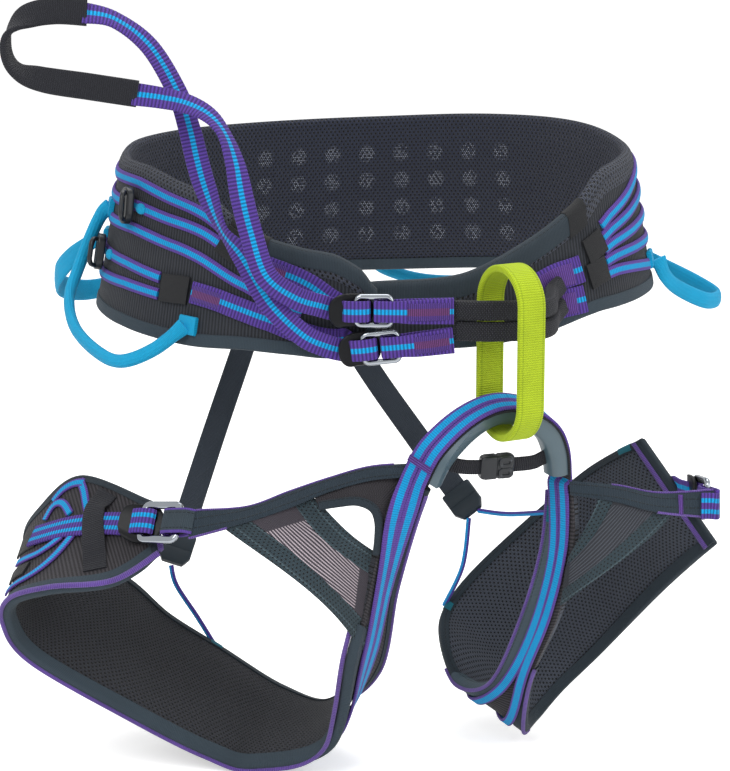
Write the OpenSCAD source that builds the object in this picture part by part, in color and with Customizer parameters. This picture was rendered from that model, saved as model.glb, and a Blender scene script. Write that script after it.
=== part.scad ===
// Sit harness for climbing: a padded waist belt with two waist buckles, a belay loop,
// a bridge arch over two adjustable leg loops, gear loops and joined strap tails.
// The origin is the centre of the waist opening, +Z is up and the front of the belt faces -Y.

/* [Waist belt] */
// Half width of the belt's outer face at the height of the origin
belt_half_w = 165; // [150:1:180]
// Half depth of the belt's outer face at the height of the origin
belt_half_d = 112; // [100:1:125]
// Outward lean of the belt for each millimetre of drop
belt_lean = 0.18; // [0.05:0.01:0.2]
// Thickness of the belt's outer shell fabric
shell_t = 2; // [1.5:0.1:2.5]
// Thickness of the foam and mesh lining at its crown
lining_t = 7.5; // [4:0.5:8]
// Width of each load band sewn on the belt
band_w = 7.5; // [5:0.5:8]
// Thickness of each load band
band_t = 1.6; // [1:0.1:2]
// Thickness of the fabric tabs over the band ends
tab_t = 1.4; // [0.8:0.1:1.6]

/* [Straps] */
// Width of the waist straps and their tails
strap_w = 13; // [11:0.5:13]
// Thickness of the strap webbing
strap_t = 1.8; // [1.2:0.1:2]
// Height of one wear sleeve on the tie-in loop
sleeve_h = 11; // [9:0.5:11.5]
// Thickness of one wear sleeve on the tie-in loop
sleeve_t = 8; // [6:0.5:9]
// Width of the risers behind the legs
riser_w = 15; // [10:0.5:18]
// Diameter of the elastic cords
cord_d = 3; // [2:0.2:3.6]
// Diameter of the gear loops' tubular webbing
gear_d = 8; // [6:0.5:9]

/* [Belay loop] */
// Width of the belay loop's webbing
belay_w = 17; // [14:0.5:20]
// Thickness of the belay loop's sewn layers
belay_t = 4; // [3:0.2:5]
// Half depth of the belay loop at the middle of its webbing
belay_half_d = 21; // [20:0.5:23]
// Height of the belay loop between the centres of its round ends
belay_run = 55; // [54:1:60]

/* [Bridge] */
// Width of the bridge arch's webbing
arch_w = 16; // [13:0.5:18]
// Width of the moulded protector under the arch
protector_w = 15; // [12:0.5:17]
// Thickness of the moulded protector
protector_t = 12.5; // [8:0.5:12.5]
// Width of the elastic spreader strap
spreader_w = 9; // [6:0.5:10]

/* [Leg loops] */
// Thickness of the leg loops' shell fabric
leg_shell_t = 1.6; // [1.2:0.1:2]
// Thickness of the leg loops' foam and mesh lining at its crown
leg_lining_t = 6; // [3:0.5:7]
// Width of the leg loops' adjusting straps
leg_strap_w = 15; // [12:0.5:16]
// Width of the double-stripe load webbing down the inner thigh
leg_web_w = 16; // [12:0.5:17]

/* [Buckles] */
// Width of a waist buckle's frame along the strap
buckle_w = 23; // [21:0.5:25]
// Height of a waist buckle's frame across the strap
buckle_h = 19.4; // [18.5:0.2:19.6]
// Width of a leg buckle's frame along the strap
leg_buckle_w = 26; // [24:0.5:28]
// Height of a leg buckle's frame across the strap
leg_buckle_h = 24; // [22:0.5:26]
// Width of a buckle frame's bars
bar_w = 3.2; // [2.6:0.1:3.6]
// Thickness of a buckle frame, front to back
bar_t = 3.2; // [2.6:0.1:3.6]
// Thickness of a buckle's black plate
plate_t = 2.4; // [1.6:0.1:3]

/* [Hidden] */
$fn = 32;

charcoal = "#33363d";
mesh_grey = "#2c2e36";
teal = "#3b4a52";
purple = "#5f3d9f";
cyan = "#00a0da";
lime = "#b4d800";
soft_black = "#1c1c1f";
steel = "#c8ccd0";

// Clearance between sewn layers
gap = 0.4;
// Clearance between pieces that move on each other
play = 0.6;
// Angle by which the harness's own front is turned from -Y towards +X
turn = 30;
// Small step for tangents, in spline stations
tiny = 0.02;

// Curves and solids

function lerp(a, b, t) = a + (b - a) * t;
function unit(v) = v / norm(v);
function knot(p, i) = p[max(0, min(len(p) - 1, i))];
function cubic(a, b, c, d, t) =
  b + 0.5 * t * (c - a + t * (2 * a - 5 * b + 4 * c - d + t * (3 * (b - c) + d - a)));

// Point of the smooth curve through p at station s, where p[0] is station 0
function spline(p, s) =
  let (i = max(0, min(floor(s), len(p) - 2)))
  cubic(knot(p, i - 1), knot(p, i), knot(p, i + 1), knot(p, i + 2), s - i);

function tangent(p, s) = unit(spline(p, s + tiny) - spline(p, s - tiny));
function stations(p, steps) = [for (k = [0:steps]) k * (len(p) - 1) / steps];

function six_volumes(p, faces) =
  [for (f = faces) cross(p[f[0]], p[f[1]]) * p[f[2]]] * [for (f = faces) 1];

// Closed solid through a list of sections, each a loop with the same even number of points
module loft(sections, closed = false) {
  n = len(sections);
  m = len(sections[0]);
  points = [for (s = sections) each s];
  last = closed ? n - 1 : n - 2;
  sides = [
    for (i = [0:last], j = [0:m - 1])
      let (a = i * m + j, b = i * m + (j + 1) % m, e = ((i + 1) % n) * m)
      each [[a, b, e + (j + 1) % m], [a, e + (j + 1) % m, e + j]]
  ];
  caps = closed ? [] : [
    for (base = [0, (n - 1) * m], k = [0:m / 2 - 2])
      let (a = base + k, b = base + k + 1, c = base + m - 2 - k, d = base + m - 1 - k)
      each base == 0 ? [[a, c, b], [a, d, c]] : [[a, b, c], [a, c, d]]
  ];
  faces = concat(sides, caps);
  outward = six_volumes(points, faces) < 0;
  polyhedron(points, outward ? faces : [for (f = faces) [f[2], f[1], f[0]]]);
}

// Flat webbing along the curve through p; the stations of dirs give the direction of its width
module webbing(p, dirs, w, t, steps) {
  loft([
    for (s = stations(p, steps))
      let (c = spline(p, s), along = tangent(p, s), d0 = spline(dirs, s * (len(dirs) - 1) / (len(p) - 1)))
      let (d = unit(d0 - along * (along * d0)), n = cross(along, d))
      [for (q = [[-1, 1], [1, 1], [1, -1], [-1, -1]]) c + d * q[0] * w / 2 + n * q[1] * t / 2]
  ]);
}

// Oval tube along the curve through p; d points across its height h
module tube(p, d, h, t, sides, steps) {
  loft([
    for (s = stations(p, steps))
      let (c = spline(p, s), along = tangent(p, s), u = unit(d - along * (along * d)), n = cross(along, u))
      [
        for (k = [0:sides - 1])
          let (a = 360 * (k + 0.5) / sides)
          c + u * cos(a) * h / 2 + n * sin(a) * t / 2
      ]
  ]);
}

module rounded(w, h, r) {
  square([w - 2 * r, h], center = true);
  square([w, h - 2 * r], center = true);
  for (x = [-1, 1], y = [-1, 1]) translate([x * (w / 2 - r), y * (h / 2 - r)]) circle(r);
}

// Places children at p with their X axis along ahead and their -Y axis towards out
module facing(p, ahead, out) {
  x = unit(ahead);
  y = -unit(out - x * (x * out));
  z = cross(x, y);
  multmatrix([
    [x[0], y[0], z[0], p[0]], [x[1], y[1], z[1], p[1]], [x[2], y[2], z[2], p[2]], [0, 0, 0, 1]
  ]) children();
}

// Waist belt: a leaning band round the waist, open at the front, where its left end laps over its right

// Angle round the waist, lower edge, upper edge, and outset at the lap
belt_stations = [
  [-106, -38, -24, -9], [-102, -45, -19, -9], [-90, -48, -16, -8], [-72, -49, -12, -5],
  [-57, -44, 5, -2], [-42, -35, 25, 0], [-32, -33, 42, 0], [-18, -31, 46, 0], [5, -29, 48, 0],
  [33, -31, 56, 0], [60, -36, 62, 0], [90, -40, 65, 0], [120, -40, 63, 0], [147, -40, 58, 0],
  [170, -41, 50, 0], [188, -42, 47, 0], [208, -46, 45, 0], [220, -49, 39, 0], [232, -51, 31, 1],
  [244, -50, 13, 4], [254, -51, 5, 6], [262, -52, 1, 7], [267, -47, -7, 7], [270, -36, -18, 7]
];
belt_first = belt_stations[0][0];
belt_last = belt_stations[len(belt_stations) - 1][0];
belt_steps = 84;

function row_index(table, phi, k = 0) =
  k < len(table) - 2 && phi >= table[k + 1][0] ? row_index(table, phi, k + 1) : k;
// Smoothed row of a table at an angle, where each row starts with its angle
function row_at(table, phi) =
  let (k = row_index(table, phi), a = table[k][0], b = table[k + 1][0])
  spline(table, k + (phi - a) / (b - a));

// Point at an angle and a height, n outside the belt's outer face
function belt_point(phi, z, n) =
  let (k = n + row_at(belt_stations, phi)[3] - belt_lean * z)
  [(belt_half_w + k) * cos(phi), (belt_half_d + k) * sin(phi), z];

function belt_height(phi, v) = let (r = row_at(belt_stations, phi)) lerp(r[1], r[2], v);
function belt_at(phi, v, n) = belt_point(phi, belt_height(phi, v), n);

// Webbing sewn on the belt along stations of angle and height share, between two distances from its face
module belt_strip(path, w, from, to, steps) {
  loft([
    for (k = [0:steps])
      let (phi = lerp(path[0][0], path[len(path) - 1][0], k / steps))
      let (z = belt_height(phi, row_at(path, phi)[1]))
      [belt_point(phi, z - w / 2, to), belt_point(phi, z + w / 2, to),
       belt_point(phi, z + w / 2, from), belt_point(phi, z - w / 2, from)]
  ]);
}

// Share of the lining's thickness left at its edges
lining_edge = 0.45;
lining_rows = 5;

module waist_shell() color(charcoal) loft([
  for (k = [0:belt_steps])
    let (phi = lerp(belt_first, belt_last, k / belt_steps))
    [belt_at(phi, 0, 0), belt_at(phi, 1, 0), belt_at(phi, 1, -shell_t), belt_at(phi, 0, -shell_t)]
]);

function crown(v, edge) = edge + (1 - edge) * (1 - pow(2 * v - 1, 4));

module waist_lining() color(mesh_grey) loft([
  for (k = [0:belt_steps])
    let (phi = lerp(belt_first, belt_last, k / belt_steps))
    concat(
      [for (j = [0:lining_rows]) belt_at(phi, j / lining_rows, -shell_t - gap)],
      [for (j = [lining_rows:-1:0])
        belt_at(phi, j / lining_rows, -shell_t - gap - lining_t * crown(j / lining_rows, lining_edge))]
    )
]);

// Load bands: angle and height share at the right tab, right side, back, left side and left tab
band_paths = [
  [[-35, 0.80], [0, 0.92], [90, 0.88], [170, 0.90], [195, 0.92], [237, 0.91]],
  [[-35, 0.66], [0, 0.74], [90, 0.69], [170, 0.76], [207, 0.77], [237, 0.79]],
  [[-35, 0.52], [0, 0.55], [90, 0.50], [170, 0.60], [193, 0.62], [226, 0.62], [244, 0.56], [256, 0.44]],
  [[-35, 0.38], [0, 0.36], [90, 0.31], [170, 0.38], [193, 0.40], [221, 0.39]],
  [[-35, 0.24], [0, 0.15], [90, 0.12], [170, 0.20], [190, 0.24], [221, 0.28]]
];
module belt_band(k) color(purple) belt_strip(band_paths[k], band_w, gap, gap + band_t, 66);
module belt_band_1() belt_band(0);
module belt_band_2() belt_band(1);
module belt_band_3() belt_band(2);
module belt_band_4() belt_band(3);
module belt_band_5() belt_band(4);

// Fabric tabs over the band ends: first and last angle, and height share of the middle
tab_w = 18;
tab_paths = [
  [[238, 0.85], [246, 0.84]], [[222, 0.34], [230, 0.37]], [[-44, 0.70], [-36, 0.68]],
  [[-44, 0.36], [-36, 0.34]]
];

module label_tabs() color(soft_black) {
  for (p = tab_paths) belt_strip(p, tab_w, gap, gap + tab_t, 3);
}

// Front straps on the left half of the belt, which feed the waist buckles
upper_strap_path = [[247, 0.80], [252, 0.78], [257, 0.72], [263, 0.56]];
lower_strap_path = [[231, 0.36], [240, 0.36], [250, 0.30], [258, 0.20], [264, 0.17]];
module upper_waist_strap() color(purple) belt_strip(upper_strap_path, strap_w, gap, gap + strap_t, 12);
module lower_waist_strap() color(purple) belt_strip(lower_strap_path, strap_w, gap, gap + strap_t, 16);

// Points in front of the belt are given from the middle of its front face
function from_front(p) = [for (q = p) q - [0, belt_half_d, 0]];
up = [0, 0, 1];

// Buckles: a steel frame in the XZ plane, a black plate behind it and a turn of webbing over its left bar

module buckle_frame(w, h) color(steel) rotate([90, 0, 0])
  linear_extrude(bar_t, center = true) difference() {
    rounded(w, h, bar_w);
    rounded(w - 2 * bar_w, h - 2 * bar_w, bar_w / 2);
  }

// Share of the frame's width that the plate stands out to the left of it
plate_out = 0.36;
module buckle_plate(w, h) color(soft_black)
  translate([-w * plate_out, (bar_t + plate_t) / 2 + gap, 0]) rotate([90, 0, 0])
    linear_extrude(plate_t, center = true) rounded(w * 0.9, h - gap, h * 0.3);

// Reach of the turn over the frame's left bar, to each side of it
turn_in = 7;
turn_out = 7.5;
module buckle_turn(w, webbing_w) color(purple) {
  rise = bar_t / 2 + gap + strap_t / 2;
  left = -w / 2 + bar_w / 2;
  webbing([
      [left + turn_in, 0, 0], [left + turn_in * 0.8, -rise * 0.8, 0], [left, -rise - gap, 0],
      [left - turn_out * 0.75, -rise * 0.8, 0], [left - turn_out, 0, 0]
    ], [up], webbing_w, strap_t, 12);
}

// Longest free part of an anchor webbing's loop before it is sewn flat
anchor_lead = 12;
// Anchor webbing folded round a frame's right bar and sewn flat to a length of run
module anchor_loop(w, run, bend, webbing_w) {
  eye = norm([bar_w, bar_t]) / 2 + play + strap_t / 2;
  bar = w / 2 - bar_w / 2;
  lead = min(anchor_lead, (run - bar) * 0.6);
  webbing([
      [run, bend - eye, 0], [bar + lead, -eye, 0], [bar + lead / 4, -eye, 0],
      [bar - eye * 0.7, -eye * 0.7, 0], [bar - eye, 0, 0], [bar - eye * 0.7, eye * 0.7, 0],
      [bar + lead / 4, eye, 0], [bar + lead, eye - strap_t, 0], [run, bend - eye + strap_t + gap, 0]
    ], [up], webbing_w, strap_t, 40);
}

// Place of each waist buckle's centre, the clearance between them, and the lower one's lean
buckle_clear = 1.6;
upper_buckle_at = from_front([[-2, -25, -24]])[0];
lower_buckle_at = upper_buckle_at + [4, 0, -buckle_h - buckle_clear];
lower_buckle_lean = -6;

module at_upper_buckle() translate(upper_buckle_at) children();
module at_lower_buckle() translate(lower_buckle_at) rotate([0, lower_buckle_lean, 0]) children();

buckle_web_w = buckle_h - 2 * bar_w - 2 * gap;
upper_anchor_run = 44.8;
lower_anchor_run = 41;
anchor_bend = 3;

module upper_buckle_frame() at_upper_buckle() buckle_frame(buckle_w, buckle_h);
module upper_buckle_plate() at_upper_buckle() buckle_plate(buckle_w, buckle_h);
module upper_buckle_turn() at_upper_buckle() buckle_turn(buckle_w, buckle_web_w);
module upper_anchor_strap() color(purple) at_upper_buckle()
  anchor_loop(buckle_w, upper_anchor_run, anchor_bend, buckle_web_w);
module lower_buckle_frame() at_lower_buckle() buckle_frame(buckle_w, buckle_h);
module lower_buckle_plate() at_lower_buckle() buckle_plate(buckle_w, buckle_h);
module lower_buckle_turn() at_lower_buckle() buckle_turn(buckle_w, buckle_web_w);
module lower_anchor_strap() color(purple) at_lower_buckle()
  anchor_loop(buckle_w, lower_anchor_run, anchor_bend, buckle_web_w);

// Tie-in loop: two stacked wear sleeves from the anchor straps to the webbing on the right of the belt
sleeve_seat = gap + strap_t + gap + sleeve_t / 2;
function sleeve_path(z) = concat(
  from_front([[44, -21, z], [64, -24, z], [86, -20, z], [98, -8, z]]),
  [belt_point(-54, z, sleeve_seat + 2), belt_point(-47, z, sleeve_seat)]
);
sleeve_z = [-24, -36];

module tie_in_sleeves() color(soft_black)
  for (z = sleeve_z) tube(sleeve_path(z), up, sleeve_h, sleeve_t, 10, 18);

tie_in_path = [[-56, 0.37], [-52, 0.38], [-45.5, 0.32]];
tie_in_w = 34;
module tie_in_webbing() color(purple) belt_strip(tie_in_path, tie_in_w, gap, gap + strap_t, 8);

// Belay loop: a ring of webbing whose width runs along the turned front
belay_at = from_front([[75, -26, -47.6]])[0];

module stadium(r, run) {
  square([2 * r, run], center = true);
  for (y = [-1, 1]) translate([0, y * run / 2]) circle(r, $fn = 64);
}
module belay_loop() color(lime) translate(belay_at) rotate([90, 0, turn + 90])
  linear_extrude(belay_w, center = true) difference() {
    stadium(belay_half_d + belay_t / 2, belay_run);
    stadium(belay_half_d - belay_t / 2, belay_run);
  }

// Free strap tails that rise from the waist buckles, joined by a black webbing loop
lower_tail_path = concat(
  [lower_buckle_at + [-21, 0, -2], lower_buckle_at + [-30, -2, 0.5]],
  from_front([
    [-42, -29, -37], [-60, -30, -19], [-76, -28, 8], [-87, -23, 22], [-96, -16, 43], [-101, -10, 58],
    [-106, -4, 77], [-113, 0, 97], [-128, 2, 122], [-147, -1, 137], [-164, -3, 141]
  ])
);
lower_tail_dirs = [
  [-0.1, 0, 1], [0.2, 0, 1], [0.3, 0, 1], [0.6, 0.1, 0.8], [0.8, -0.4, 0.4], [0.5, -0.9, 0.1],
  [0.9, -0.3, 0.2], [1, 0, 0.3], [1, 0.2, 0.3], [0.9, 0.3, 0.4], [0.6, 0.4, 0.7], [0.3, 0.3, 1],
  [0, 0.2, 1]
];
upper_tail_path = concat(
  [upper_buckle_at + [-20.6, 0, 0], upper_buckle_at + [-30, -3, 3]],
  from_front([
    [-46, -34, -15], [-62, -37, -2], [-70, -39, 22], [-75, -37, 42], [-79, -33, 61], [-85, -27, 76],
    [-94, -22, 86], [-107, -18, 92], [-121, -17, 95], [-136, -16, 97]
  ])
);
upper_tail_dirs = [
  [0, 0, 1], [0.2, 0, 1], [0.3, 0, 1], [0.8, 0, 0.5], [1, 0.1, 0.2], [1, 0.2, 0.2], [0.8, 0.5, 0.3],
  [0.5, 0.85, 0.1], [0.2, 0.9, 0.35], [0.1, 0.4, 0.9], [0, 0, 1], [0, 0, 1]
];
joining_path = from_front([
  [-165.2, -3, 141], [-180, -5, 142], [-195, -8, 139], [-205, -11, 130], [-206, -13, 119],
  [-200, -15, 110], [-186, -16, 105], [-160, -16, 101], [-136.7, -16, 97]
]);
joining_dirs = [[0, 0.2, 1], [0, 0.4, 0.9], [0.1, 0.9, 0.2], [0.1, 0.9, 0.3], [0, 0.3, 1], [0, 0, 1]];

module upper_strap_tail() color(purple) webbing(upper_tail_path, upper_tail_dirs, strap_w, strap_t, 44);
module lower_strap_tail() color(purple) webbing(lower_tail_path, lower_tail_dirs, strap_w, strap_t, 48);
// The joining loop is two layers thick and a little wider than the tails
joining_over = 2;
module tail_joining_loop() color(soft_black)
  webbing(joining_path, joining_dirs, strap_w + joining_over, strap_t * 2, 36);

// Gear loops: tubular webbing, stations of angle, height and distance from the belt's face
gear_seat = gap + band_t + gap + gear_d / 2;
close_gear_seat = gear_seat - 1;
low_gear_seat = play + gear_d / 2;
left_front_gear = [
  [231, -40, low_gear_seat], [226, -54, 12], [220, -62, 19], [213, -59, 21], [203, -49, 22],
  [196, -34, 22], [192, -18, 17], [189, 2, 11], [187, 17, gear_seat]
];
left_rear_gear = [
  [178, -2, close_gear_seat], [175, -16, 22], [171, -30, 32], [165, -40, 34], [157, -45, 27],
  [150, -40, 14], [146, -30, close_gear_seat]
];
back_gear = [
  [92, -31, close_gear_seat], [88, -43, 10], [80, -51, 14], [70, -51, 16], [61, -43, 12],
  [56, -29, close_gear_seat]
];
right_gear = [
  [-8, -13, gear_seat], [-7, -24, 9], [-4, -33, 16], [0, -40, 32], [5, -38, 42], [10, -30, 36],
  [16, -21, 20], [20, -16, gear_seat]
];
module gear_loop(p) color(cyan)
  tube([for (q = p) belt_point(q[0], q[1], q[2])], up, gear_d, gear_d * 0.8, 8, 32);
module left_front_gear_loop() gear_loop(left_front_gear);
module left_rear_gear_loop() gear_loop(left_rear_gear);
module back_gear_loop() gear_loop(back_gear);
module right_gear_loop() gear_loop(right_gear);

// Plastic slots for tool clips, threaded on the second and fourth bands: angle and height share
slot_at = [[207, 0.77], [193, 0.40]];
slot_w = 12;
slot_h = 22;
slot_t = 5;
slot_bar = 3;
slot_lean = -12;
slot_stand = 1.4;
module tool_clip_slots() color(soft_black) for (s = slot_at) {
  translate(belt_at(s[0], s[1], gap + band_t + slot_stand + slot_t / 2))
    rotate([0, 0, s[0] + 90]) rotate([90 - atan(belt_lean), slot_lean, 0])
    linear_extrude(slot_t, center = true) difference() {
      rounded(slot_w, slot_h, slot_w / 2 - gap);
      rounded(slot_w - 2 * slot_bar, slot_h - 2 * slot_bar, (slot_w - 2 * slot_bar) / 2 - gap);
    }
}

// Risers from the back of the belt to their clips
riser_seat = -shell_t - gap - lining_t - gap - strap_t / 2;
left_riser_top = belt_point(116, -34, riser_seat);
right_riser_top = belt_point(107, -34, riser_seat);
left_riser_path = concat(
  [left_riser_top], from_front([[-84, 186, -78], [-104, 132, -134], [-124, 85, -193]])
);
right_riser_path = concat(
  [right_riser_top], from_front([[-8, 172, -92], [26, 124, -132], [54, 90, -164]])
);
left_riser_dirs = [[1, 0, -0.1], [1, 0, -0.3]];
right_riser_dirs = [[1, 0, 0.3], [0.8, 0, 0.5]];
module left_riser() color(charcoal) webbing(left_riser_path, left_riser_dirs, riser_w, strap_t, 14);
module right_riser() color(charcoal) webbing(right_riser_path, right_riser_dirs, riser_w, strap_t, 14);

clip_l = 20;
clip_t = 6;
clip_wall = 2;
clip_slot = 9;
function riser_end(path) = path[len(path) - 1];
function riser_along(path) = tangent(path, len(path) - 1);
// Point below a clip, out of its end face
function clip_foot(path, out) = riser_end(path) + riser_along(path) * (clip_l - clip_slot + out);

// Width direction of a riser at its end
function riser_d(path, dirs) =
  let (along = riser_along(path), d = dirs[1])
  unit(d - along * (along * d));

// A moulded clip that takes the riser's end in a slot and hangs below it
module riser_clip(path, d) facing(riser_end(path), d, cross(riser_along(path), d)) difference() {
  translate([0, 0, clip_slot - clip_l / 2])
    cube([riser_w + 2 * play + 2 * clip_wall, clip_t, clip_l], center = true);
  translate([0, 0, clip_slot / 2])
    cube([riser_w + 2 * play, strap_t + 2 * play, clip_slot + 2 * play], center = true);
}
module riser_clips() color(soft_black) {
  riser_clip(left_riser_path, riser_d(left_riser_path, left_riser_dirs));
  riser_clip(right_riser_path, riser_d(right_riser_path, right_riser_dirs));
}

// Bridge arch: webbing over a moulded protector, and the spreader strap across its ends
arch_path = from_front([
  [20.5, -35.6, -119.7], [29, -38, -102], [44, -34, -87], [60, -29, -78], [75, -24, -76],
  [90, -18, -81], [101, -12, -92], [106, -7, -107], [107.2, -3.2, -125.4]
]);
arch_dirs = [[-0.79, 0.43, 0.43], [-0.33, 0.8, 0.5], [-0.65, 0.76, 0.06]];
arch_foot = 0.35;

// Section frame of the arch at a station: centre, width direction and inward direction
function arch_frame(s) =
  let (c = spline(arch_path, s), along = tangent(arch_path, s))
  let (d0 = spline(arch_dirs, s * (len(arch_dirs) - 1) / (len(arch_path) - 1)))
  let (d = unit(d0 - along * (along * d0)))
  [c, d, -cross(along, d)];

module bridge_webbing() color(purple) webbing(arch_path, arch_dirs, arch_w, strap_t, 32);
protector_steps = 28;
// Share of the protector's thickness at its feet
protector_foot = 0.45;
module bridge_protector() color(teal) loft([
  for (k = [0:protector_steps])
    let (s = lerp(arch_foot, len(arch_path) - 1 - arch_foot, k / protector_steps), f = arch_frame(s))
    let (top = strap_t / 2 + gap, swell = sin(180 * k / protector_steps))
    let (full = protector_t * lerp(protector_foot, 1, swell))
    [
      for (q = [[-0.5, 0], [0.5, 0], [0.5, 0.5], [0.3, 1], [-0.3, 1], [-0.5, 0.5]])
        f[0] + f[1] * q[0] * protector_w + f[2] * (top + q[1] * full)
    ]
]);

spreader_path = from_front([
  [37.6, -33.1, -108.8], [47, -31, -112.5], [60, -26.5, -114], [76, -21, -114], [89, -15.5, -114],
  [95.5, -12.2, -112]
]);
spreader_d = [0, -0.2, 1];
module spreader_strap() color(soft_black) webbing(spreader_path, [spreader_d], spreader_w, strap_t, 16);

spreader_buckle_s = 2.5;
spreader_buckle_l = 20;
spreader_wall = 2;
module spreader_buckle() color(soft_black)
  facing(spline(spreader_path, spreader_buckle_s), tangent(spreader_path, spreader_buckle_s),
    cross(spreader_d, tangent(spreader_path, spreader_buckle_s)))
    difference() {
      slot = [strap_t + 2 * play, spreader_w + 2 * play];
      cube([spreader_buckle_l, slot[0] + 2 * spreader_wall, slot[1] + 2 * spreader_wall], center = true);
      cube([spreader_buckle_l + 2, slot[0], slot[1]], center = true);
    }

// Leg loops: a padded strip from the outer flap round the back of the thigh and up to the bridge.
// Each leg is a list of hip-side edge, knee-side edge, and the sign that points its normal outwards.
left_leg = [
  from_front([
    [-131, -10, -139], [-176, 32, -134], [-204, 46, -158], [-215, 60, -180], [-206, 72, -202],
    [-162, 82, -212], [-132, 87, -240], [-99, 87, -262], [-60, 77, -284], [-28, 55, -286],
    [1, 17, -251], [11, -8, -193], [21, -26, -149], [28, -38, -125]
  ]),
  from_front([
    [-125, -32, -163], [-151, -41, -177], [-188, -38, -182], [-212, -28, -192], [-217, -18, -210],
    [-203, -8, -236], [-148, 2, -274], [-103, 4, -299], [-73, 2, -307], [-26, -8, -290],
    [-12, -26, -226], [-2, -34, -179], [5, -35, -141], [13.5, -30, -117]
  ]),
  1
];
right_leg = [
  from_front([
    [166, 92, -126], [133, 122, -156], [71, 117, -210], [45, 107, -239], [40, 87, -254],
    [50, 62, -275], [70, 35, -264], [87, 12, -215], [98, 5, -169], [101, 5, -126]
  ]),
  from_front([
    [205, 42, -178], [178, 62, -212], [141, 82, -260], [116, 80, -285], [99, 67, -300], [90, 42, -297],
    [92, 18, -258], [106, -5, -210], [114, -10, -167], [112, -8, -127]
  ]),
  -1
];

// Step along an edge at a station, for normals
function step_at(p, s) = spline(p, s + tiny) - spline(p, s - tiny);
function leg_normal(leg, s, v) =
  let (along = lerp(step_at(leg[0], s), step_at(leg[1], s), v))
  leg[2] * unit(cross(along, spline(leg[1], s) - spline(leg[0], s)));
// Point at a station and a share of the width, n outside the leg loop's outer face
function leg_at(leg, s, v, n) =
  lerp(spline(leg[0], s), spline(leg[1], s), v) + leg_normal(leg, s, v) * n;

// Point beyond the hip-side edge of a leg loop
function leg_edge(leg, s, out) =
  leg_at(leg, s, 0, -leg_shell_t) + unit(spline(leg[0], s) - spline(leg[1], s)) * out;

leg_steps = 78;
leg_rows = 4;
// Layer of a leg loop between a flat depth and a depth that swells by t to its crown
module leg_layer(leg, flat, deep, t) loft([
  for (s = stations(leg[0], leg_steps))
    concat(
      [for (j = [0:leg_rows]) leg_at(leg, s, j / leg_rows, -deep - t * crown(j / leg_rows, lining_edge))],
      [for (j = [leg_rows:-1:0]) leg_at(leg, s, j / leg_rows, -flat)]
    )
]);
leg_in = leg_shell_t + gap;
module leg_shell(leg) color(charcoal) leg_layer(leg, leg_shell_t, 0, 0);
module leg_lining(leg) color(mesh_grey) leg_layer(leg, leg_in, leg_in, leg_lining_t);

// Elastic cords from the riser clips to the leg loops' hip-side edges
cord_end = 2;
cord_out = 1.6;
cord_spread = 4;
function right_cord_foot(side) =
  clip_foot(right_riser_path, cord_out) + side * cord_spread * riser_d(right_riser_path, right_riser_dirs);
left_cord_path = concat(
  [clip_foot(left_riser_path, cord_out)],
  from_front([[-124, 76, -215], [-112, 84, -238]]),
  [leg_edge(left_leg, 6.9, cord_end)]
);
right_cord_paths = [
  concat([right_cord_foot(1)], from_front([[80, 56, -164]]), [leg_edge(right_leg, 8.4, cord_end)]),
  concat([right_cord_foot(-1)], from_front([[54, 88, -206]]), [leg_edge(right_leg, 3, cord_end)])
];
module left_elastic_cord() color(cyan) tube(left_cord_path, [1, 0, 0], cord_d, cord_d, 8, 8);
module right_elastic_cords() color(cyan)
  for (p = right_cord_paths) tube(p, [0.4, 1, 0], cord_d, cord_d, 8, 8);

// Webbing sewn on a leg loop along stations and shares of its width
module leg_strip(leg, path, w, from, to, steps) {
  loft([
    for (s = stations(path, steps))
      let (q = spline(path, s), a = spline(leg[0], q[0]), b = spline(leg[1], q[0]), h = w / 2 / norm(b - a))
      [leg_at(leg, q[0], q[1] - h, to), leg_at(leg, q[0], q[1] + h, to),
       leg_at(leg, q[0], q[1] + h, from), leg_at(leg, q[0], q[1] - h, from)]
  ]);
}

module left_leg_shell() leg_shell(left_leg);
module left_leg_lining() leg_lining(left_leg);
module right_leg_shell() leg_shell(right_leg);
module right_leg_lining() leg_lining(right_leg);

module left_leg_webbing() color(purple)
  leg_strip(left_leg, [[8.6, 0.5], [10, 0.5], [11, 0.5], [13, 0.5]], leg_web_w, play, play + strap_t, 24);
module right_leg_webbing() color(purple)
  leg_strip(right_leg, [[4.6, 0.5], [6, 0.5], [7, 0.5], [9, 0.5]], leg_web_w, play, play + strap_t, 24);

// Front band and panel of each leg: an upper and a lower edge from the bridge towards the buckle
sheet_rows = 4;
module sheet(e, from, to, steps, first = 0, v = [0, 1]) {
  loft([
    for (k = [0:steps])
      let (s = lerp(first, len(e[0]) - 1, k / steps), a = spline(e[0], s), b = spline(e[1], s))
      let (n = unit(cross(step_at((e[0] + e[1]) / 2, s), b - a)))
      let (p = lerp(a, b, v[0]), q = lerp(a, b, v[1]))
      concat(
        [for (j = [0:sheet_rows]) lerp(p, q, j / sheet_rows) + n * to],
        [for (j = [sheet_rows:-1:0]) lerp(p, q, j / sheet_rows) + n * from]
      )
  ]);
}
band_sheet_t = 2.4;
left_band_edges = [
  from_front([
    [12, -29.3, -117.5], [-10, -26, -118], [-41, -22, -128], [-70, -25, -137], [-102.6, -35, -137]
  ]),
  from_front([
    [8, -31.6, -128], [-10, -32, -127], [-41, -29, -136], [-70, -32, -146], [-102.6, -43, -150]
  ])
];
right_band_edges = [
  from_front([[113.1, -9.2, -127.2], [139, -4, -130], [164, 0, -136], [197, 7, -136]]),
  from_front([[113.7, -9.8, -138.2], [138, -10, -141], [163, -7, -147], [197, 4, -152]])
];
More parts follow.
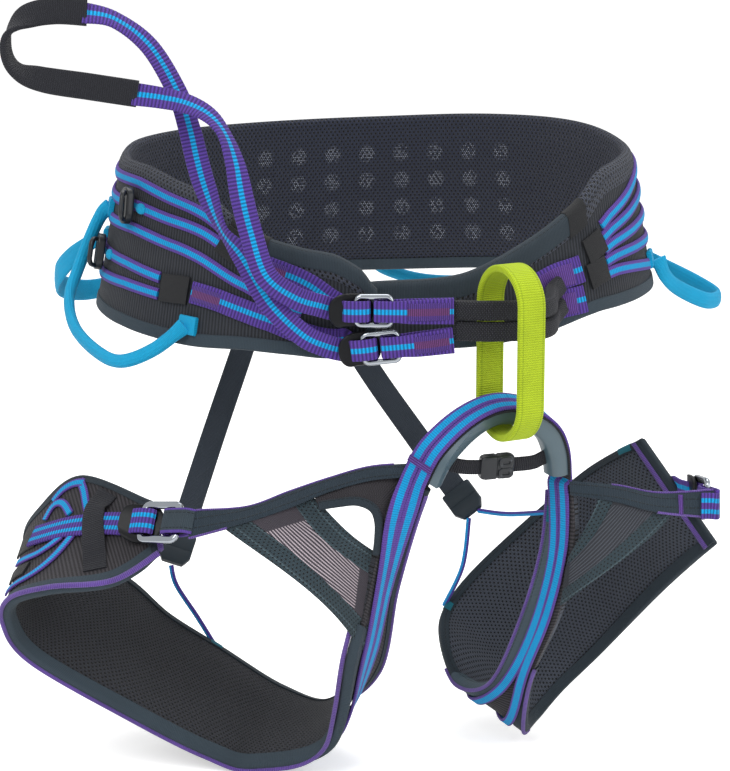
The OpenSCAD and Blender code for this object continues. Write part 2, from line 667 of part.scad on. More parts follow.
left_panel_edges = [
  from_front([
    [-98, -42.5, -151], [-70, -32.8, -147.6], [-44, -30.3, -139], [-24, -35, -150], [-3, -35.2, -165]
  ]),
  from_front([
    [-98, -43, -154], [-66, -40, -165], [-34, -40, -188], [-18, -35, -208], [-12.2, -29, -218]
  ])
];
right_panel_edges = [
  from_front([
    [192, 1.6, -153], [162, -7.8, -148.8], [138, -11, -142.6], [126, -14, -153], [115.2, -11.2, -164]
  ]),
  from_front([
    [192, 1, -155], [161, -13, -158], [143, -17, -172], [123, -16, -190], [110.8, -8.4, -200]
  ])
];
panel_t = 1.6;
module leg_band(e) color(teal) sheet(e, -band_sheet_t / 2, band_sheet_t / 2, 20);
module leg_panel(e) color(charcoal) sheet(e, -panel_t / 2, panel_t / 2, 16);

// Dotted elastic strips along a panel's upper and lower edges
strip_share = 0.26;
strip_inset = 0.02;
module leg_strips(e, side) color(teal) {
  lift = side * (panel_t / 2 + gap);
  top = lift + side * band_t;
  for (v = [strip_inset, 1 - strip_inset - strip_share])
    sheet(e, min(lift, top), max(lift, top), 12, 1, [v, v + strip_share]);
}
module left_leg_panel() leg_panel(left_panel_edges);
module right_leg_panel() leg_panel(right_panel_edges);
module left_leg_strips() leg_strips(left_panel_edges, -1);
module right_leg_strips() leg_strips(right_panel_edges, 1);

// Leg buckles: each stands off the end of its flap, and the band's end folds round its right bar
flap_ahead = 8;
flap_out = 8;
module at_left_leg_buckle() {
  ahead = -tangent((left_leg[0] + left_leg[1]) / 2, 0);
  centre = leg_at(left_leg, 0, 0.5, flap_out) + ahead * flap_ahead;
  facing(centre, ahead, leg_normal(left_leg, 0, 0.5)) children();
}
right_leg_buckle_at = from_front([[193, 32, -147]])[0];
right_leg_buckle_ahead = [0.18, -0.97, 0.13];
right_leg_buckle_out = [0.95, 0.15, -0.1];
module at_right_leg_buckle()
  facing(right_leg_buckle_at, right_leg_buckle_ahead, right_leg_buckle_out) children();
left_fold = 22.5;
right_fold = 27;
fold_bend = 2.6;

module left_leg_band() {
  leg_band(left_band_edges);
  color(teal) at_left_leg_buckle() anchor_loop(leg_buckle_w, left_fold, fold_bend, leg_strap_w);
}
module right_leg_band() {
  leg_band(right_band_edges);
  color(teal) at_right_leg_buckle() anchor_loop(leg_buckle_w, right_fold, fold_bend, leg_strap_w);
}

// Adjusting straps over the outer flaps
left_strap_path = [[0.42, 0.5], [1, 0.5], [1.6, 0.5], [2.3, 0.46]];
right_strap_path = [[0.05, 0.46], [0.5, 0.42], [1, 0.4], [1.5, 0.4]];
module left_leg_strap() color(purple)
  leg_strip(left_leg, left_strap_path, leg_strap_w, play, play + strap_t, 14);
module right_leg_strap() color(purple)
  leg_strip(right_leg, right_strap_path, leg_strap_w, play, play + strap_t, 12);

keeper_l = 40;
keeper_t = 1.2;
keeper_seat = play + strap_t + gap;
module left_leg_keeper() color(soft_black)
  leg_strip(left_leg, [[0.92, 0.5], [1.16, 0.5]], keeper_l, keeper_seat, keeper_seat + keeper_t, 4);

module left_leg_buckle_frame() at_left_leg_buckle() buckle_frame(leg_buckle_w, leg_buckle_h);
module left_leg_buckle_plate() at_left_leg_buckle() buckle_plate(leg_buckle_w, leg_buckle_h);
module left_leg_buckle_turn() at_left_leg_buckle() buckle_turn(leg_buckle_w, leg_strap_w);
module right_leg_buckle_frame() at_right_leg_buckle() buckle_frame(leg_buckle_w, leg_buckle_h);
module right_leg_buckle_plate() at_right_leg_buckle() buckle_plate(leg_buckle_w, leg_buckle_h);
module right_leg_buckle_turn() at_right_leg_buckle() buckle_turn(leg_buckle_w, leg_strap_w);

waist_shell();
waist_lining();
belt_band_1();
belt_band_2();
belt_band_3();
belt_band_4();
belt_band_5();
label_tabs();
upper_waist_strap();
lower_waist_strap();
tie_in_webbing();
tie_in_sleeves();
belay_loop();
upper_buckle_frame();
upper_buckle_plate();
upper_buckle_turn();
upper_anchor_strap();
lower_buckle_frame();
lower_buckle_plate();
lower_buckle_turn();
lower_anchor_strap();
upper_strap_tail();
lower_strap_tail();
tail_joining_loop();
left_front_gear_loop();
left_rear_gear_loop();
back_gear_loop();
right_gear_loop();
tool_clip_slots();
left_riser();
right_riser();
riser_clips();
left_elastic_cord();
right_elastic_cords();
bridge_webbing();
bridge_protector();
spreader_strap();
spreader_buckle();
left_leg_shell();
left_leg_lining();
left_leg_band();
left_leg_panel();
left_leg_strips();
left_leg_webbing();
left_leg_strap();
left_leg_keeper();
left_leg_buckle_frame();
left_leg_buckle_plate();
left_leg_buckle_turn();
right_leg_shell();
right_leg_lining();
right_leg_band();
right_leg_panel();
right_leg_strips();
right_leg_webbing();
right_leg_strap();
right_leg_buckle_frame();
right_leg_buckle_plate();
right_leg_buckle_turn();
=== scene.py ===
import bpy
import math
import numpy as np
from functools import partial
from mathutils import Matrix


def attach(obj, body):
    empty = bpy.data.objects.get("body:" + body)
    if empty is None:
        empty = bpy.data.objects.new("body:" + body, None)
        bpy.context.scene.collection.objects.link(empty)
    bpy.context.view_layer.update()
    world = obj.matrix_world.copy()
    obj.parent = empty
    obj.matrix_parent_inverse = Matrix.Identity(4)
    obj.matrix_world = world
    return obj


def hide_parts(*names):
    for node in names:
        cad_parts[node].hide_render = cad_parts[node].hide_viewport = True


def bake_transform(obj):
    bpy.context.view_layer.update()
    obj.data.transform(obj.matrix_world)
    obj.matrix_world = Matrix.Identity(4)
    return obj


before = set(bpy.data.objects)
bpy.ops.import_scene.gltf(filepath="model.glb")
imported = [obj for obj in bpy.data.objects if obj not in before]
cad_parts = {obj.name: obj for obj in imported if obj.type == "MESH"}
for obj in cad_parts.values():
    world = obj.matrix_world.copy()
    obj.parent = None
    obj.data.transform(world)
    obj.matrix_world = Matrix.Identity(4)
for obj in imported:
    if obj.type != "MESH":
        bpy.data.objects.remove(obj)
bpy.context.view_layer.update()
scene = bpy.context.scene
scene.view_settings.view_transform = "Standard"
mm = 0.001
print("frame loaded:", len(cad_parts), "nodes")


# shared curves: everything is worked out in millimetres and put into meshes in metres

def unit(v):
    return v / np.maximum(np.linalg.norm(v, axis=-1, keepdims=True), 1e-12)


# Catmull-Rom curve through the rows of p at stations s, with its end rows repeated
def curveAt(p, s):
    p, s = np.asarray(p, float), np.asarray(s, float)
    i = np.clip(np.floor(s).astype(int), 0, len(p) - 2)
    t = (s - i)[..., None]
    a, b, c, d = (p[np.clip(i + k, 0, len(p) - 1)] for k in (-1, 0, 1, 2))
    return b + 0.5 * t * (c - a + t * (2 * a - 5 * b + 4 * c - d + t * (3 * (b - c) + d - a)))


# lengths from the first point to each point of a line
def runOf(c):
    return np.concatenate([[0], np.cumsum(np.linalg.norm(np.diff(c, axis=0), axis=1))])


# n stations of a curve, spaced evenly by its length
def evenStations(p, n, first=0.0, last=None):
    fine = np.linspace(first, len(p) - 1 if last is None else last, 500)
    run = runOf(curveAt(p, fine))
    return np.interp(np.linspace(0, run[-1], n), run, fine)


# width direction squared to the run of a line, and the normal that completes the section
def sectionAxes(c, dirs, closed=False):
    along = np.roll(c, -1, 0) - np.roll(c, 1, 0) if closed else np.gradient(c, axis=0)
    along = unit(along)
    across = unit(dirs - along * np.sum(along * dirs, -1, keepdims=True))
    return across, np.cross(along, across)


# n even points of a curve with their section axes
def evenLine(rows, n, dirs):
    c = curveAt(rows, evenStations(rows, n))
    return c, *sectionAxes(c, dirs)


def fromFront(rows):
    return np.asarray(rows, float) - (0, belt["halfDepth"], 0)


def inMetres(*points):
    return [tuple(np.array(p) * mm) for p in points]


# rounded rectangle as a closed loop of (across, out): four quarter circles with points between
def roundRect(w, t, r, flat=3, corner=3):
    r = min(r, w / 2 - 1e-6, t / 2 - 1e-6)
    arcs = []
    for k, (sx, sy) in enumerate([(1, 1), (-1, 1), (-1, -1), (1, -1)]):
        a = np.linspace(0, np.pi / 2, corner) + k * np.pi / 2
        arcs.append(np.stack([np.cos(a), np.sin(a)], 1) * r + (sx * (w / 2 - r), sy * (t / 2 - r)))
    between = np.linspace(0, 1, flat + 2)[1:-1, None]
    sides = [arc[-1] + (after[0] - arc[-1]) * between for arc, after in zip(arcs, arcs[1:] + arcs[:1])]
    return np.concatenate([q for pair in zip(arcs, sides) for q in pair])


def smooth(x):
    x = np.clip(x, 0, 1)
    return x * x * (3 - 2 * x)


def oval(h, t, count):
    a = 2 * np.pi * np.arange(count) / count
    return np.stack([np.cos(a) * h / 2, np.sin(a) * t / 2], 1)


# a profile whose thickness rises and falls along the run, as the ribs of a webbing do
def ribbed(profile, run, pitch, depth):
    wave = 1 + depth * np.cos(2 * np.pi * run / pitch)
    return profile * np.stack([1 + 0 * wave, wave], 1)[:, None]


# mesh from a grid of points, closed around, and closed along or capped at its ends, faces outwards
def gridPiece(name, grid, uv, along=False, sharp=38):
    n, m = grid.shape[:2]
    i, j = (q.ravel() for q in np.meshgrid(np.arange(n - 1 + along), np.arange(m), indexing="ij"))
    i2, j2 = (i + 1) % n, (j + 1) % m
    faces = np.stack([i * m + j, i * m + j2, i2 * m + j2, i2 * m + j], 1)
    corner = np.stack([uv[i, j], uv[i, j + 1], uv[i + 1, j + 1], uv[i + 1, j]], 1)
    points = grid.reshape(-1, 3)
    p = points[faces] - points.mean(0)
    volume = sum(np.sum(p[:, 0] * np.cross(p[:, k], p[:, k + 1])) for k in (1, 2))
    ends = [] if along else [np.arange(m)[::-1], (n - 1) * m + np.arange(m)]
    endUv = [] if along else [uv[0, :m][::-1], uv[n - 1, :m]]
    if volume < 0:
        faces, corner = faces[:, ::-1], corner[:, ::-1]
        ends, endUv = [e[::-1] for e in ends], [e[::-1] for e in endUv]
    mesh = bpy.data.meshes.new(name)
    mesh.from_pydata((points * mm).tolist(), [], faces.tolist() + [e.tolist() for e in ends])
    flat = np.concatenate([corner.reshape(-1, 2)] + endUv) * mm
    mesh.uv_layers.new(name="weave").data.foreach_set("uv", flat.astype(np.float32).ravel())
    mesh.polygons.foreach_set("use_smooth", np.ones(len(mesh.polygons), bool))
    mesh.set_sharp_from_angle(angle=math.radians(sharp))
    mesh.update()
    obj = bpy.data.objects.new(name, mesh)
    scene.collection.objects.link(obj)
    return obj


# a profile carried along a line: point = centre + across * x + out * y; a ring's pattern follows its girth
def sweep(name, c, across, out, profile, closed=False, sharp=38, ring=False):
    prof = np.broadcast_to(profile, (len(c),) + np.shape(profile)[-2:])
    grid = c[:, None] + across[:, None] * prof[..., :1] + out[:, None] * prof[..., 1:]
    run = runOf(np.concatenate([c, c[:1]])) if closed else runOf(c)
    wide = np.concatenate([prof[..., 0], prof[:, :1, 0]], 1)
    if ring:
        wide = np.broadcast_to(runOf(np.concatenate([prof[0], prof[0][:1]])), wide.shape)
    wide = np.concatenate([wide, wide[:1]]) if closed else wide
    return gridPiece(name, grid, runUv(run, wide), along=closed, sharp=sharp)


def runUv(run, wide):
    return np.stack([np.broadcast_to(run[:, None], wide.shape), wide], -1)


# flat webbing along the curve through rows of points, ribbed when a pitch is given
def webbing(name, rows, dirs, w, t, rib=0.0, depth=0.14, step=None):
    last = len(rows) - 1
    length = runOf(curveAt(rows, np.linspace(0, last, 300)))[-1]
    s = evenStations(rows, int(max(8, length / (step or rib / 5 or 2.5))))
    c = curveAt(rows, s)
    dirs = np.atleast_2d(np.asarray(dirs, float))
    across, out = sectionAxes(c, curveAt(dirs, s * (len(dirs) - 1) / last) if len(dirs) > 1 else dirs)
    w = np.interp(s, np.linspace(0, last, np.size(w)), np.ravel(w))
    profile = roundRect(w.max(), t, t * 0.42) * np.stack([w / w.max(), 1 + 0 * w], 1)[:, None]
    return sweep(name, c, across, out, ribbed(profile, runOf(c), rib, depth) if rib else profile)


# rides on a body, or keeps its place when given several bodies and points; hides the CAD nodes it stands for
def dress(obj, material, body, *nodes, slot=None):
    obj.data.materials.append(material)
    if isinstance(body, str):
        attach(obj, body)
    else:
        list(body)
        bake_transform(obj)
    slot or finishSlots[material.name]
    if nodes:
        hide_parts(*nodes)
    return obj


# several meshes made one piece, with their UV maps
def joined(name, pieces):
    if len(pieces) > 1:
        with bpy.context.temp_override(active_object=pieces[0], selected_editable_objects=pieces):
            bpy.ops.object.join()
    pieces[0].name = pieces[0].data.name = name
    return pieces[0]


# materials: node groups put out masks and heights, the shaders stay in each material
finishSlots = {}


def tint(code):
    v = np.array([int(code[k:k + 2], 16) for k in (1, 3, 5)]) / 255
    v = np.where(v <= 0.04045, v / 12.92, ((v + 0.055) / 1.055) ** 2.4)
    return (*v.tolist(), 1.0)


def isSocket(value):
    return isinstance(value, bpy.types.NodeSocket)


# a node whose inputs are fed with numbers or sockets, by name or place, in the tree of its first socket
def put(kind, feeds, tree=None, **props):
    tree = tree or next(v.id_data for v in feeds.values() if isSocket(v))
    node = tree.nodes.new(kind)
    for key, value in props.items():
        setattr(node, key, value)
    for key, value in feeds.items():
        if isSocket(value):
            tree.links.new(value, node.inputs[key])
        else:
            node.inputs[key].default_value = value
    return node


def calc(operation, *values):
    return put("ShaderNodeMath", dict(enumerate(values)), operation=operation).outputs[0]


plus, minus, times, over = (partial(calc, k) for k in ("ADD", "SUBTRACT", "MULTIPLY", "DIVIDE"))
scaled = partial(calc, "MULTIPLY_ADD")


def wave(turns):
    return scaled(calc("COSINE", turns), 0.5, 0.5)


# distance from the middle of each pitch, in pitches
def beat(line, pitch):
    return calc("ABSOLUTE", minus(calc("FRACT", over(line, pitch)), 0.5))


def farOf(x, y):
    return calc("SQRT", plus(times(x, x), times(y, y)))


def mixed(mask, a, b, way="MIX"):
    return put("ShaderNodeMix", {0: mask, 6: a, 7: b}, data_type="RGBA", blend_type=way).outputs[2]


def ramp(value, low, high, start=0.0, end=1.0):
    feeds = {0: value, 1: low, 2: high, 3: start, 4: end}
    return put("ShaderNodeMapRange", feeds, interpolation_type="SMOOTHSTEP").outputs[0]


def noise(place, scale, detail):
    return put("ShaderNodeTexNoise", {"Vector": place, "Scale": scale, "Detail": detail}).outputs[0]


def newGroup(name, inputs, outputs):
    tree = bpy.data.node_groups.new(name, "ShaderNodeTree")
    for key in inputs:
        kind = "NodeSocketVector" if key == "Place" else "NodeSocketFloat"
        tree.interface.new_socket(key, in_out="INPUT", socket_type=kind)
    for key in outputs:
        tree.interface.new_socket(key, in_out="OUTPUT", socket_type="NodeSocketFloat")
    return tree, tree.nodes.new("NodeGroupInput").outputs, tree.nodes.new("NodeGroupOutput").inputs


# a group's outputs, with its sizes given in millimetres
def useGroup(group, **feeds):
    feeds = {key: v if isSocket(v) else v * mm for key, v in feeds.items()}
    return put("ShaderNodeGroup", feeds, node_tree=group).outputs


# ribs across the run, and threads along it that step sideways from rib to rib
def makeWeave():
    tree, i, o = newGroup("webbingWeave", ["Along", "Across", "Rib", "Thread"], ["Ribs", "Threads"])
    step = over(i["Along"], i["Rib"])
    tree.links.new(wave(times(step, 2 * math.pi)), o["Ribs"])
    side = times(over(i["Across"], i["Thread"]), 2 * math.pi)
    side = plus(side, times(calc("FLOOR", times(step, 2.0)), math.pi))
    tree.links.new(wave(side), o["Threads"])
    return tree


# 1 on a line of the given half width that runs at one place across, soft at its edges
def makeStripe():
    tree, i, o = newGroup("stripeLine", ["Across", "Centre", "Half", "Soft"], ["Mask"])
    off = calc("ABSOLUTE", minus(i["Across"], i["Centre"]))
    inside = minus(minus(i["Half"], off), times(i["Soft"], -0.5))
    tree.links.new(ramp(over(inside, i["Soft"]), 0.0, 1.0), o["Mask"])
    return tree


# 1 in round holes on rows that are staggered by half a pitch
def makeHoles():
    tree, i, o = newGroup("staggeredHoles", ["Along", "Across", "Pitch", "Row", "Radius"], ["Mask"])
    row = over(i["Across"], i["Row"])
    shift = times(calc("FLOORED_MODULO", calc("FLOOR", row), 2.0), 0.5)
    place = plus(over(i["Along"], i["Pitch"]), shift)
    x, y = (times(minus(calc("FRACT", q), 0.5), i[key]) for q, key in ((place, "Pitch"), (row, "Row")))
    tree.links.new(ramp(over(farOf(x, y), i["Radius"]), 1.25, 0.7), o["Mask"])
    return tree


# dashes of thread along a line
def makeStitch():
    tree, i, o = newGroup("stitchRow", ["Along", "Across", "Centre", "Pitch", "Half"], ["Mask"])
    line = useGroup(stripeGroup, Across=i["Across"], Centre=i["Centre"], Half=i["Half"], Soft=0.2)[0]
    tree.links.new(times(line, ramp(beat(i["Along"], i["Pitch"]), 0.40, 0.30)), o["Mask"])
    return tree


# uneven cloth: slow patches and fine fuzz, both about 0.5
def makeGrain():
    tree, i, o = newGroup("clothGrain", ["Place"], ["Patches", "Fuzz"])
    for key, scale, detail in (("Patches", 55.0, 3.0), ("Fuzz", 1500.0, 2.0)):
        tree.links.new(noise(i["Place"], scale, detail), o[key])
    return tree


weaveGroup, stripeGroup, holesGroup, grainGroup = makeWeave(), makeStripe(), makeHoles(), makeGrain()
stitchGroup = makeStitch()


# a material with its run, its width, its place and its grain
def newMaterial(name, slot):
    material = bpy.data.materials.new(name)
    material.use_nodes = True
    finishSlots[name] = slot
    tree = material.node_tree
    uv = put("ShaderNodeUVMap", {}, tree, uv_map="weave").outputs[0]
    along, across, _ = put("ShaderNodeSeparateXYZ", {0: uv}).outputs
    place = put("ShaderNodeTexCoord", {}, tree).outputs["Object"]
    return material, along, across, place, useGroup(grainGroup, Place=place)


# feeds the shader with what changes over the surface, and sets what is the same all over it
def finish(material, colour, height, relief, rough, fixed):
    bump = put("ShaderNodeBump", {"Height": height, "Strength": 1.0, "Distance": relief * mm}).outputs[0]
    shader = material.node_tree.nodes["Principled BSDF"]
    for key, socket in (("Base Color", colour), ("Normal", bump), ("Roughness", rough)):
        material.node_tree.links.new(socket, shader.inputs[key])
    for key, value in fixed.items():
        shader.inputs[key].default_value = value
    return material


# woven cloth: colour stripes, shaded ribs and threads, pierced holes, stitch rows, patches and fuzz;
# weave gives the ribs' pitch and shade and the threads' pitch and shade
def cloth(name, slot, base, weave, stripes=(), holes=None, seams=(), patch=0.25, rough=0.82, sheen=0.06,
          relief=0.25, extra=None):
    material, along, across, _, grain = newMaterial(name, slot)
    rib, ribShade, thread, threadShade = weave
    woven = useGroup(weaveGroup, Along=along, Across=across, Rib=rib, Thread=thread)
    colour = tint(base)
    for centre, half, code in stripes:
        mask = useGroup(stripeGroup, Across=across, Centre=centre, Half=half, Soft=0.5)[0]
        colour = mixed(mask, colour, tint(code))
    if extra:
        colour = extra(along, across, colour)
    shade = scaled(woven["Ribs"], ribShade, 1 - ribShade * 0.62)
    for tone, depth in ((woven["Threads"], threadShade), (grain["Patches"], patch), (grain["Fuzz"], 0.3)):
        shade = times(shade, scaled(tone, depth, 1 - depth / 2))
    height = plus(times(woven["Ribs"], 0.6), times(woven["Threads"], 0.4))
    height = plus(height, times(grain["Fuzz"], 0.5))
    if holes:
        pitch, row, radius, dark, limit = holes  # none above the limit
        pierced = useGroup(holesGroup, Along=along, Across=across, Pitch=pitch, Row=row, Radius=radius)[0]
        pierced = times(pierced, ramp(across, limit * mm, (limit - 2) * mm))
        shade = times(shade, scaled(pierced, -dark, 1.0))
        height = minus(height, times(pierced, 1.6))
    colour = mixed(1.0, colour, shade, "MULTIPLY")
    for centre, pitch, half, code in seams:
        sewn = useGroup(stitchGroup, Along=along, Across=across, Centre=centre, Pitch=pitch, Half=half)[0]
        colour = mixed(sewn, colour, tint(code))
        height = plus(height, sewn)
    fixed = {"Sheen Weight": sheen, "Sheen Roughness": 0.4, "Specular IOR Level": 0.3}
    return finish(material, colour, height, relief, scaled(grain["Fuzz"], 0.16, rough - 0.08), fixed)


# smooth hard finish: patches of tone, fine grain in the roughness and relief, and paler edges that are partly
# wear and partly a painted highlight where light catches them
def hard(name, slot, base, rough, relief, metal=0.0, spread=0.12, coat=0.0, worn=None, gloss=0.5):
    material, _, _, place, grain = newMaterial(name, slot)
    fine = noise(place, 900.0, 4.0)
    colour = mixed(1.0, tint(base), scaled(grain["Patches"], 0.2, 0.9), "MULTIPLY")
    if worn:
        # paler sharp edges: partly wear, partly a painted highlight of light on rounded edges
        edge = put("ShaderNodeNewGeometry", {}, material.node_tree).outputs["Pointiness"]
        rubbedAndLit = times(ramp(edge, 0.53, 0.62), ramp(grain["Patches"], 0.35, 0.65))
        colour = mixed(rubbedAndLit, colour, tint(worn))
    fixed = {"Metallic": metal, "Specular IOR Level": gloss, "Coat Weight": coat}
    return finish(material, colour, fine, relief, scaled(fine, spread, rough - spread / 2), fixed)


def bothSides(at, *rest):
    return [(-at, *rest), (at, *rest)]


# pale flecks on slanting lines that meet at the middle of the width
def flecks(along, across, colour):
    slant = plus(along, calc("ABSOLUTE", across))
    row = calc("FRACT", over(across, 1.1 * mm))
    mask = times(ramp(beat(slant, 1.7 * mm), 0.2, 0.08), ramp(row, 0.35, 0.6))
    return mixed(mask, colour, tint("#43444a"))


purple, purpleEdge, cyan = "#4b3384", "#553c8e", "#028fc8"
webSlot, tealSlot, blackSlot, plasticSlot = "purple_webbing", "teal_elastic", "black_webbing", "black_plastic"
tealWeave = (0.9, 0.3, 0.8, 0.2)
oneStripe = cloth("strapWebbing", webSlot, purple, (2.1, 0.85, 0.9, 0.15), [(0, 1.5, cyan)])
bandCloth = cloth("loadBand", webSlot, purpleEdge, (1.5, 0.4, 0.8, 0.25), [(0, 1.5, cyan)])
halfStripe = cloth("legWebbing", webSlot, purpleEdge, (1.4, 0.35, 0.8, 0.3), [(0, 2.0, cyan)], sheen=0.15)
legStrapCloth = cloth("legStrap", webSlot, purple, (2.0, 0.85, 0.9, 0.15), bothSides(3.2, 1.3, cyan))
tackCloth = cloth("barTack", webSlot, "#523887", (1.1, 0.9, 0.9, 0.5), [(0, 2.1, "#683a70")], relief=0.6)
purpleTack = cloth("purpleTack", webSlot, "#5d3d8c", (1.3, 0.9, 0.8, 0.4), relief=0.6)
tealTack = cloth("tealTack", tealSlot, "#0f7082", (0.8, 0.8, 0.9, 0.15), relief=0.5)
pipingCloth = cloth("pipedEdge", webSlot, "#64499a", (1.1, 0.6, 0.7, 0.5), patch=0.7, sheen=0.2, relief=0.5)
shellCloth = cloth("ribbedShell", "shell_fabric", "#2b2e34", (2.1, 1.0, 0.7, 0.15), relief=0.5)
tealCloth = cloth("tealBinding", tealSlot, "#303c45", tealWeave, seams=[(1.5, 2.6, 0.28, "#1f2930")])
tealEdge = cloth("bandBinding", tealSlot, "#25313b", (1.0, 0.3, 1.6, 0.5), relief=0.4,
                 seams=bothSides(2.6, 2.4, 0.3, "#1b2329"))
foldCloth = cloth("foldBinding", tealSlot, "#2f3a42", (1.0, 0.3, 0.9, 0.15), bothSides(6.9, 0.8, purpleEdge),
                  seams=bothSides(4.6, 2.4, 0.3, "#1b2329"))
darkTeal = cloth("darkBinding", tealSlot, "#232d35", tealWeave, seams=[(1.5, 2.6, 0.28, "#161d23")])
# darker copy of the binding for the upper edge's front ends: painted shade
shadedRimCloth = cloth("shadedRimBinding", tealSlot, "#29333b", tealWeave, seams=bothSides(4.0, 2.6, 0.28, "#171d22"))
paleTeal = cloth("frontBinding", tealSlot, "#46545d", tealWeave, seams=[(1.5, 2.6, 0.28, "#2a343b")])
tabCloth = cloth("plainTab", blackSlot, "#131417", (0.7, 0.2, 0.7, 0.25), rough=0.7)
blackCloth = cloth("blackWebbing", blackSlot, "#1e1f25", (1.2, 0.5, 1.2, 0.7), relief=0.4)
sleeveCloth = cloth("wearSleeve", blackSlot, "#18191f", (1.0, 0.4, 1.1, 0.5), relief=0.6, extra=flecks)
riserCloth = cloth("riserWebbing", "riser_webbing", "#2d343d", (0.9, 0.25, 0.9, 0.25), relief=0.2)
limeCloth = cloth("belayWebbing", "lime_webbing", "#a5bb1f", (1.3, 0.3, 1.7, 0.2),
                  bothSides(6.6, 0.35, "#8fa516"), patch=0.35, relief=0.3)
loopCloth = cloth("gearLoop", "cyan_loop", "#009ac8", (0.8, 0.25, 1.0, 0.35), rough=0.65)
# the paler lines 4.6 mm each side of the middle are painted highlights along the strips' edges
dottedCloth = cloth("dottedElastic", tealSlot, "#35454d", (0.9, 0.3, 1.0, 0.25),
                    bothSides(4.6, 0.4, "#52656d"), holes=(2.6, 2.0, 0.5, 0.95, 99), relief=0.6)
steelFinish = hard("polishedSteel", "polished_steel", "#94999f", 0.13, 0.004, metal=1.0, spread=0.1)
# the plate's paler rim is a painted highlight of light on its rounded edge
plateFinish = hard("satinPlate", "black_plate", "#0f1013", 0.36, 0.01, worn="#3a3c40", gloss=0.14)
plasticFinish = hard("blackPlastic", plasticSlot, "#1a1d21", 0.32, 0.02, worn="#3c4046", gloss=0.35)
clipFinish = hard("clipPlastic", plasticSlot, "#1d262d", 0.55, 0.03, worn="#35404a", gloss=0.25)
rubberFinish = hard("mouldedGuard", "moulded_protector", "#43565f", 0.36, 0.015, coat=0.1)
print("materials ready:", len(bpy.data.materials))


# camera at the photograph's angle, soft lamps, white floor
view = dict(place=(-0.007, -1.4672, 0.2159), down=12, focal=2400, imageHeight=771, sensor=36)
camera = bpy.data.objects.new("camera", bpy.data.cameras.new("camera"))
camera.location = view["place"]
camera.rotation_euler = (math.radians(90 - view["down"]), 0, 0)
camera.data.sensor_fit = "VERTICAL"
camera.data.sensor_height = view["sensor"]
camera.data.lens = view["focal"] / view["imageHeight"] * view["sensor"]
camera.data.clip_end = 100
scene.collection.objects.link(camera)
scene.camera = camera

lamps = dict(key=((-0.9, -1.5, 1.5), 1.1, 26), fill=((1.5, -1.1, 0.7), 1.4, 14),
             top=((0.1, 0.6, 1.7), 1.4, 20))
lampAim = np.array((0, 0, -0.08))
for name, (place, size, power) in lamps.items():
    lamp = bpy.data.objects.new(name, bpy.data.lights.new(name, "AREA"))
    lamp.data.size, lamp.data.energy = size, power
    lamp.location = place
    aim = lampAim - place
    turnUp = math.acos(-aim[2] / np.linalg.norm(aim))
    lamp.rotation_euler = (turnUp, 0, math.atan2(aim[1], aim[0]) - math.pi / 2)
    scene.collection.objects.link(lamp)


# white where the camera, a mirror or glass sees it, and a plain light of its own elsewhere
def seenRay(tree):
    rays = put("ShaderNodeLightPath", {}, tree).outputs
    seen = calc("MAXIMUM", rays["Is Camera Ray"], rays["Is Glossy Ray"])
    return calc("MAXIMUM", seen, rays["Is Transmission Ray"])


studio = dict(light=0.62, floorHeight=-0.3095, floorHalf=14.0, floorTone=0.93, floorGlow=0.46)
world = scene.world or bpy.data.worlds.new("studio")
scene.world = world
world.use_nodes = True
sky = world.node_tree
sky.nodes["Background"].inputs["Color"].default_value = (1, 1, 1, 1)
sky.links.new(ramp(seenRay(sky), 0.0, 1.0, studio["light"], 1.0), sky.nodes["Background"].inputs["Strength"])

floorMesh = bpy.data.meshes.new("floor")
reach = studio["floorHalf"]
corners = [(x * reach, y * reach, studio["floorHeight"]) for x, y in ((-1, -1), (1, -1), (1, 1), (-1, 1))]
floorMesh.from_pydata(corners, [], [(0, 1, 2, 3)])
floorPiece = bpy.data.objects.new("floor", floorMesh)
scene.collection.objects.link(floorPiece)
floorFinish = bpy.data.materials.new("paleFloor")
floorFinish.use_nodes = True
ground = floorFinish.node_tree
groundInputs = ground.nodes["Principled BSDF"].inputs
for key, value in {"Base Color": (*[studio["floorTone"]] * 3, 1), "Roughness": 0.9, "Specular IOR Level": 0.0,
                   "Emission Color": (1, 1, 1, 1)}.items():
    groundInputs[key].default_value = value
ground.links.new(times(seenRay(ground), studio["floorGlow"]), groundInputs["Emission Strength"])
floorMesh.materials.append(floorFinish)
print("camera, lamps and floor ready")


# waist belt surface: an oval that leans outwards as it drops, its edges and outset from smoothed rows
belt = dict(
    halfWidth=165, halfDepth=112, lean=0.18, shell=2.0, lining=7.5, gap=0.4,
    liningEdge=0.45, behind=0.2, step=3.0, columns=14,
    rows=[  # angle, lower edge, upper edge, outset
        (-106, -38, -24, -9), (-102, -45, -19, -9), (-90, -48, -16, -8), (-72, -49, -12, -5),
        (-57, -44, 5, -2), (-42, -35, 25, 0), (-32, -33, 42, 0), (-18, -31, 48, 0), (5, -29, 53, 0),
        (33, -31, 61.5, 0), (60, -36, 63, 0), (90, -40, 60, 0), (120, -40, 57.5, 0), (147, -40, 55.5, 0),
        (170, -41, 52.5, 0), (188, -42, 47, 0), (208, -46, 45, 0), (220, -49, 39, 0), (232, -51, 31, 1),
        (244, -50, 13, 4), (254, -51, 5, 6), (262, -52, 1, 7), (267, -47, -7, 7), (270, -36, -18, 7)])


def rowAt(table, phi):
    table = np.asarray(table, float)
    k = np.clip(np.searchsorted(table[:, 0], phi, side="right") - 1, 0, len(table) - 2)
    return curveAt(table, k + (phi - table[k, 0]) / (table[k + 1, 0] - table[k, 0]))


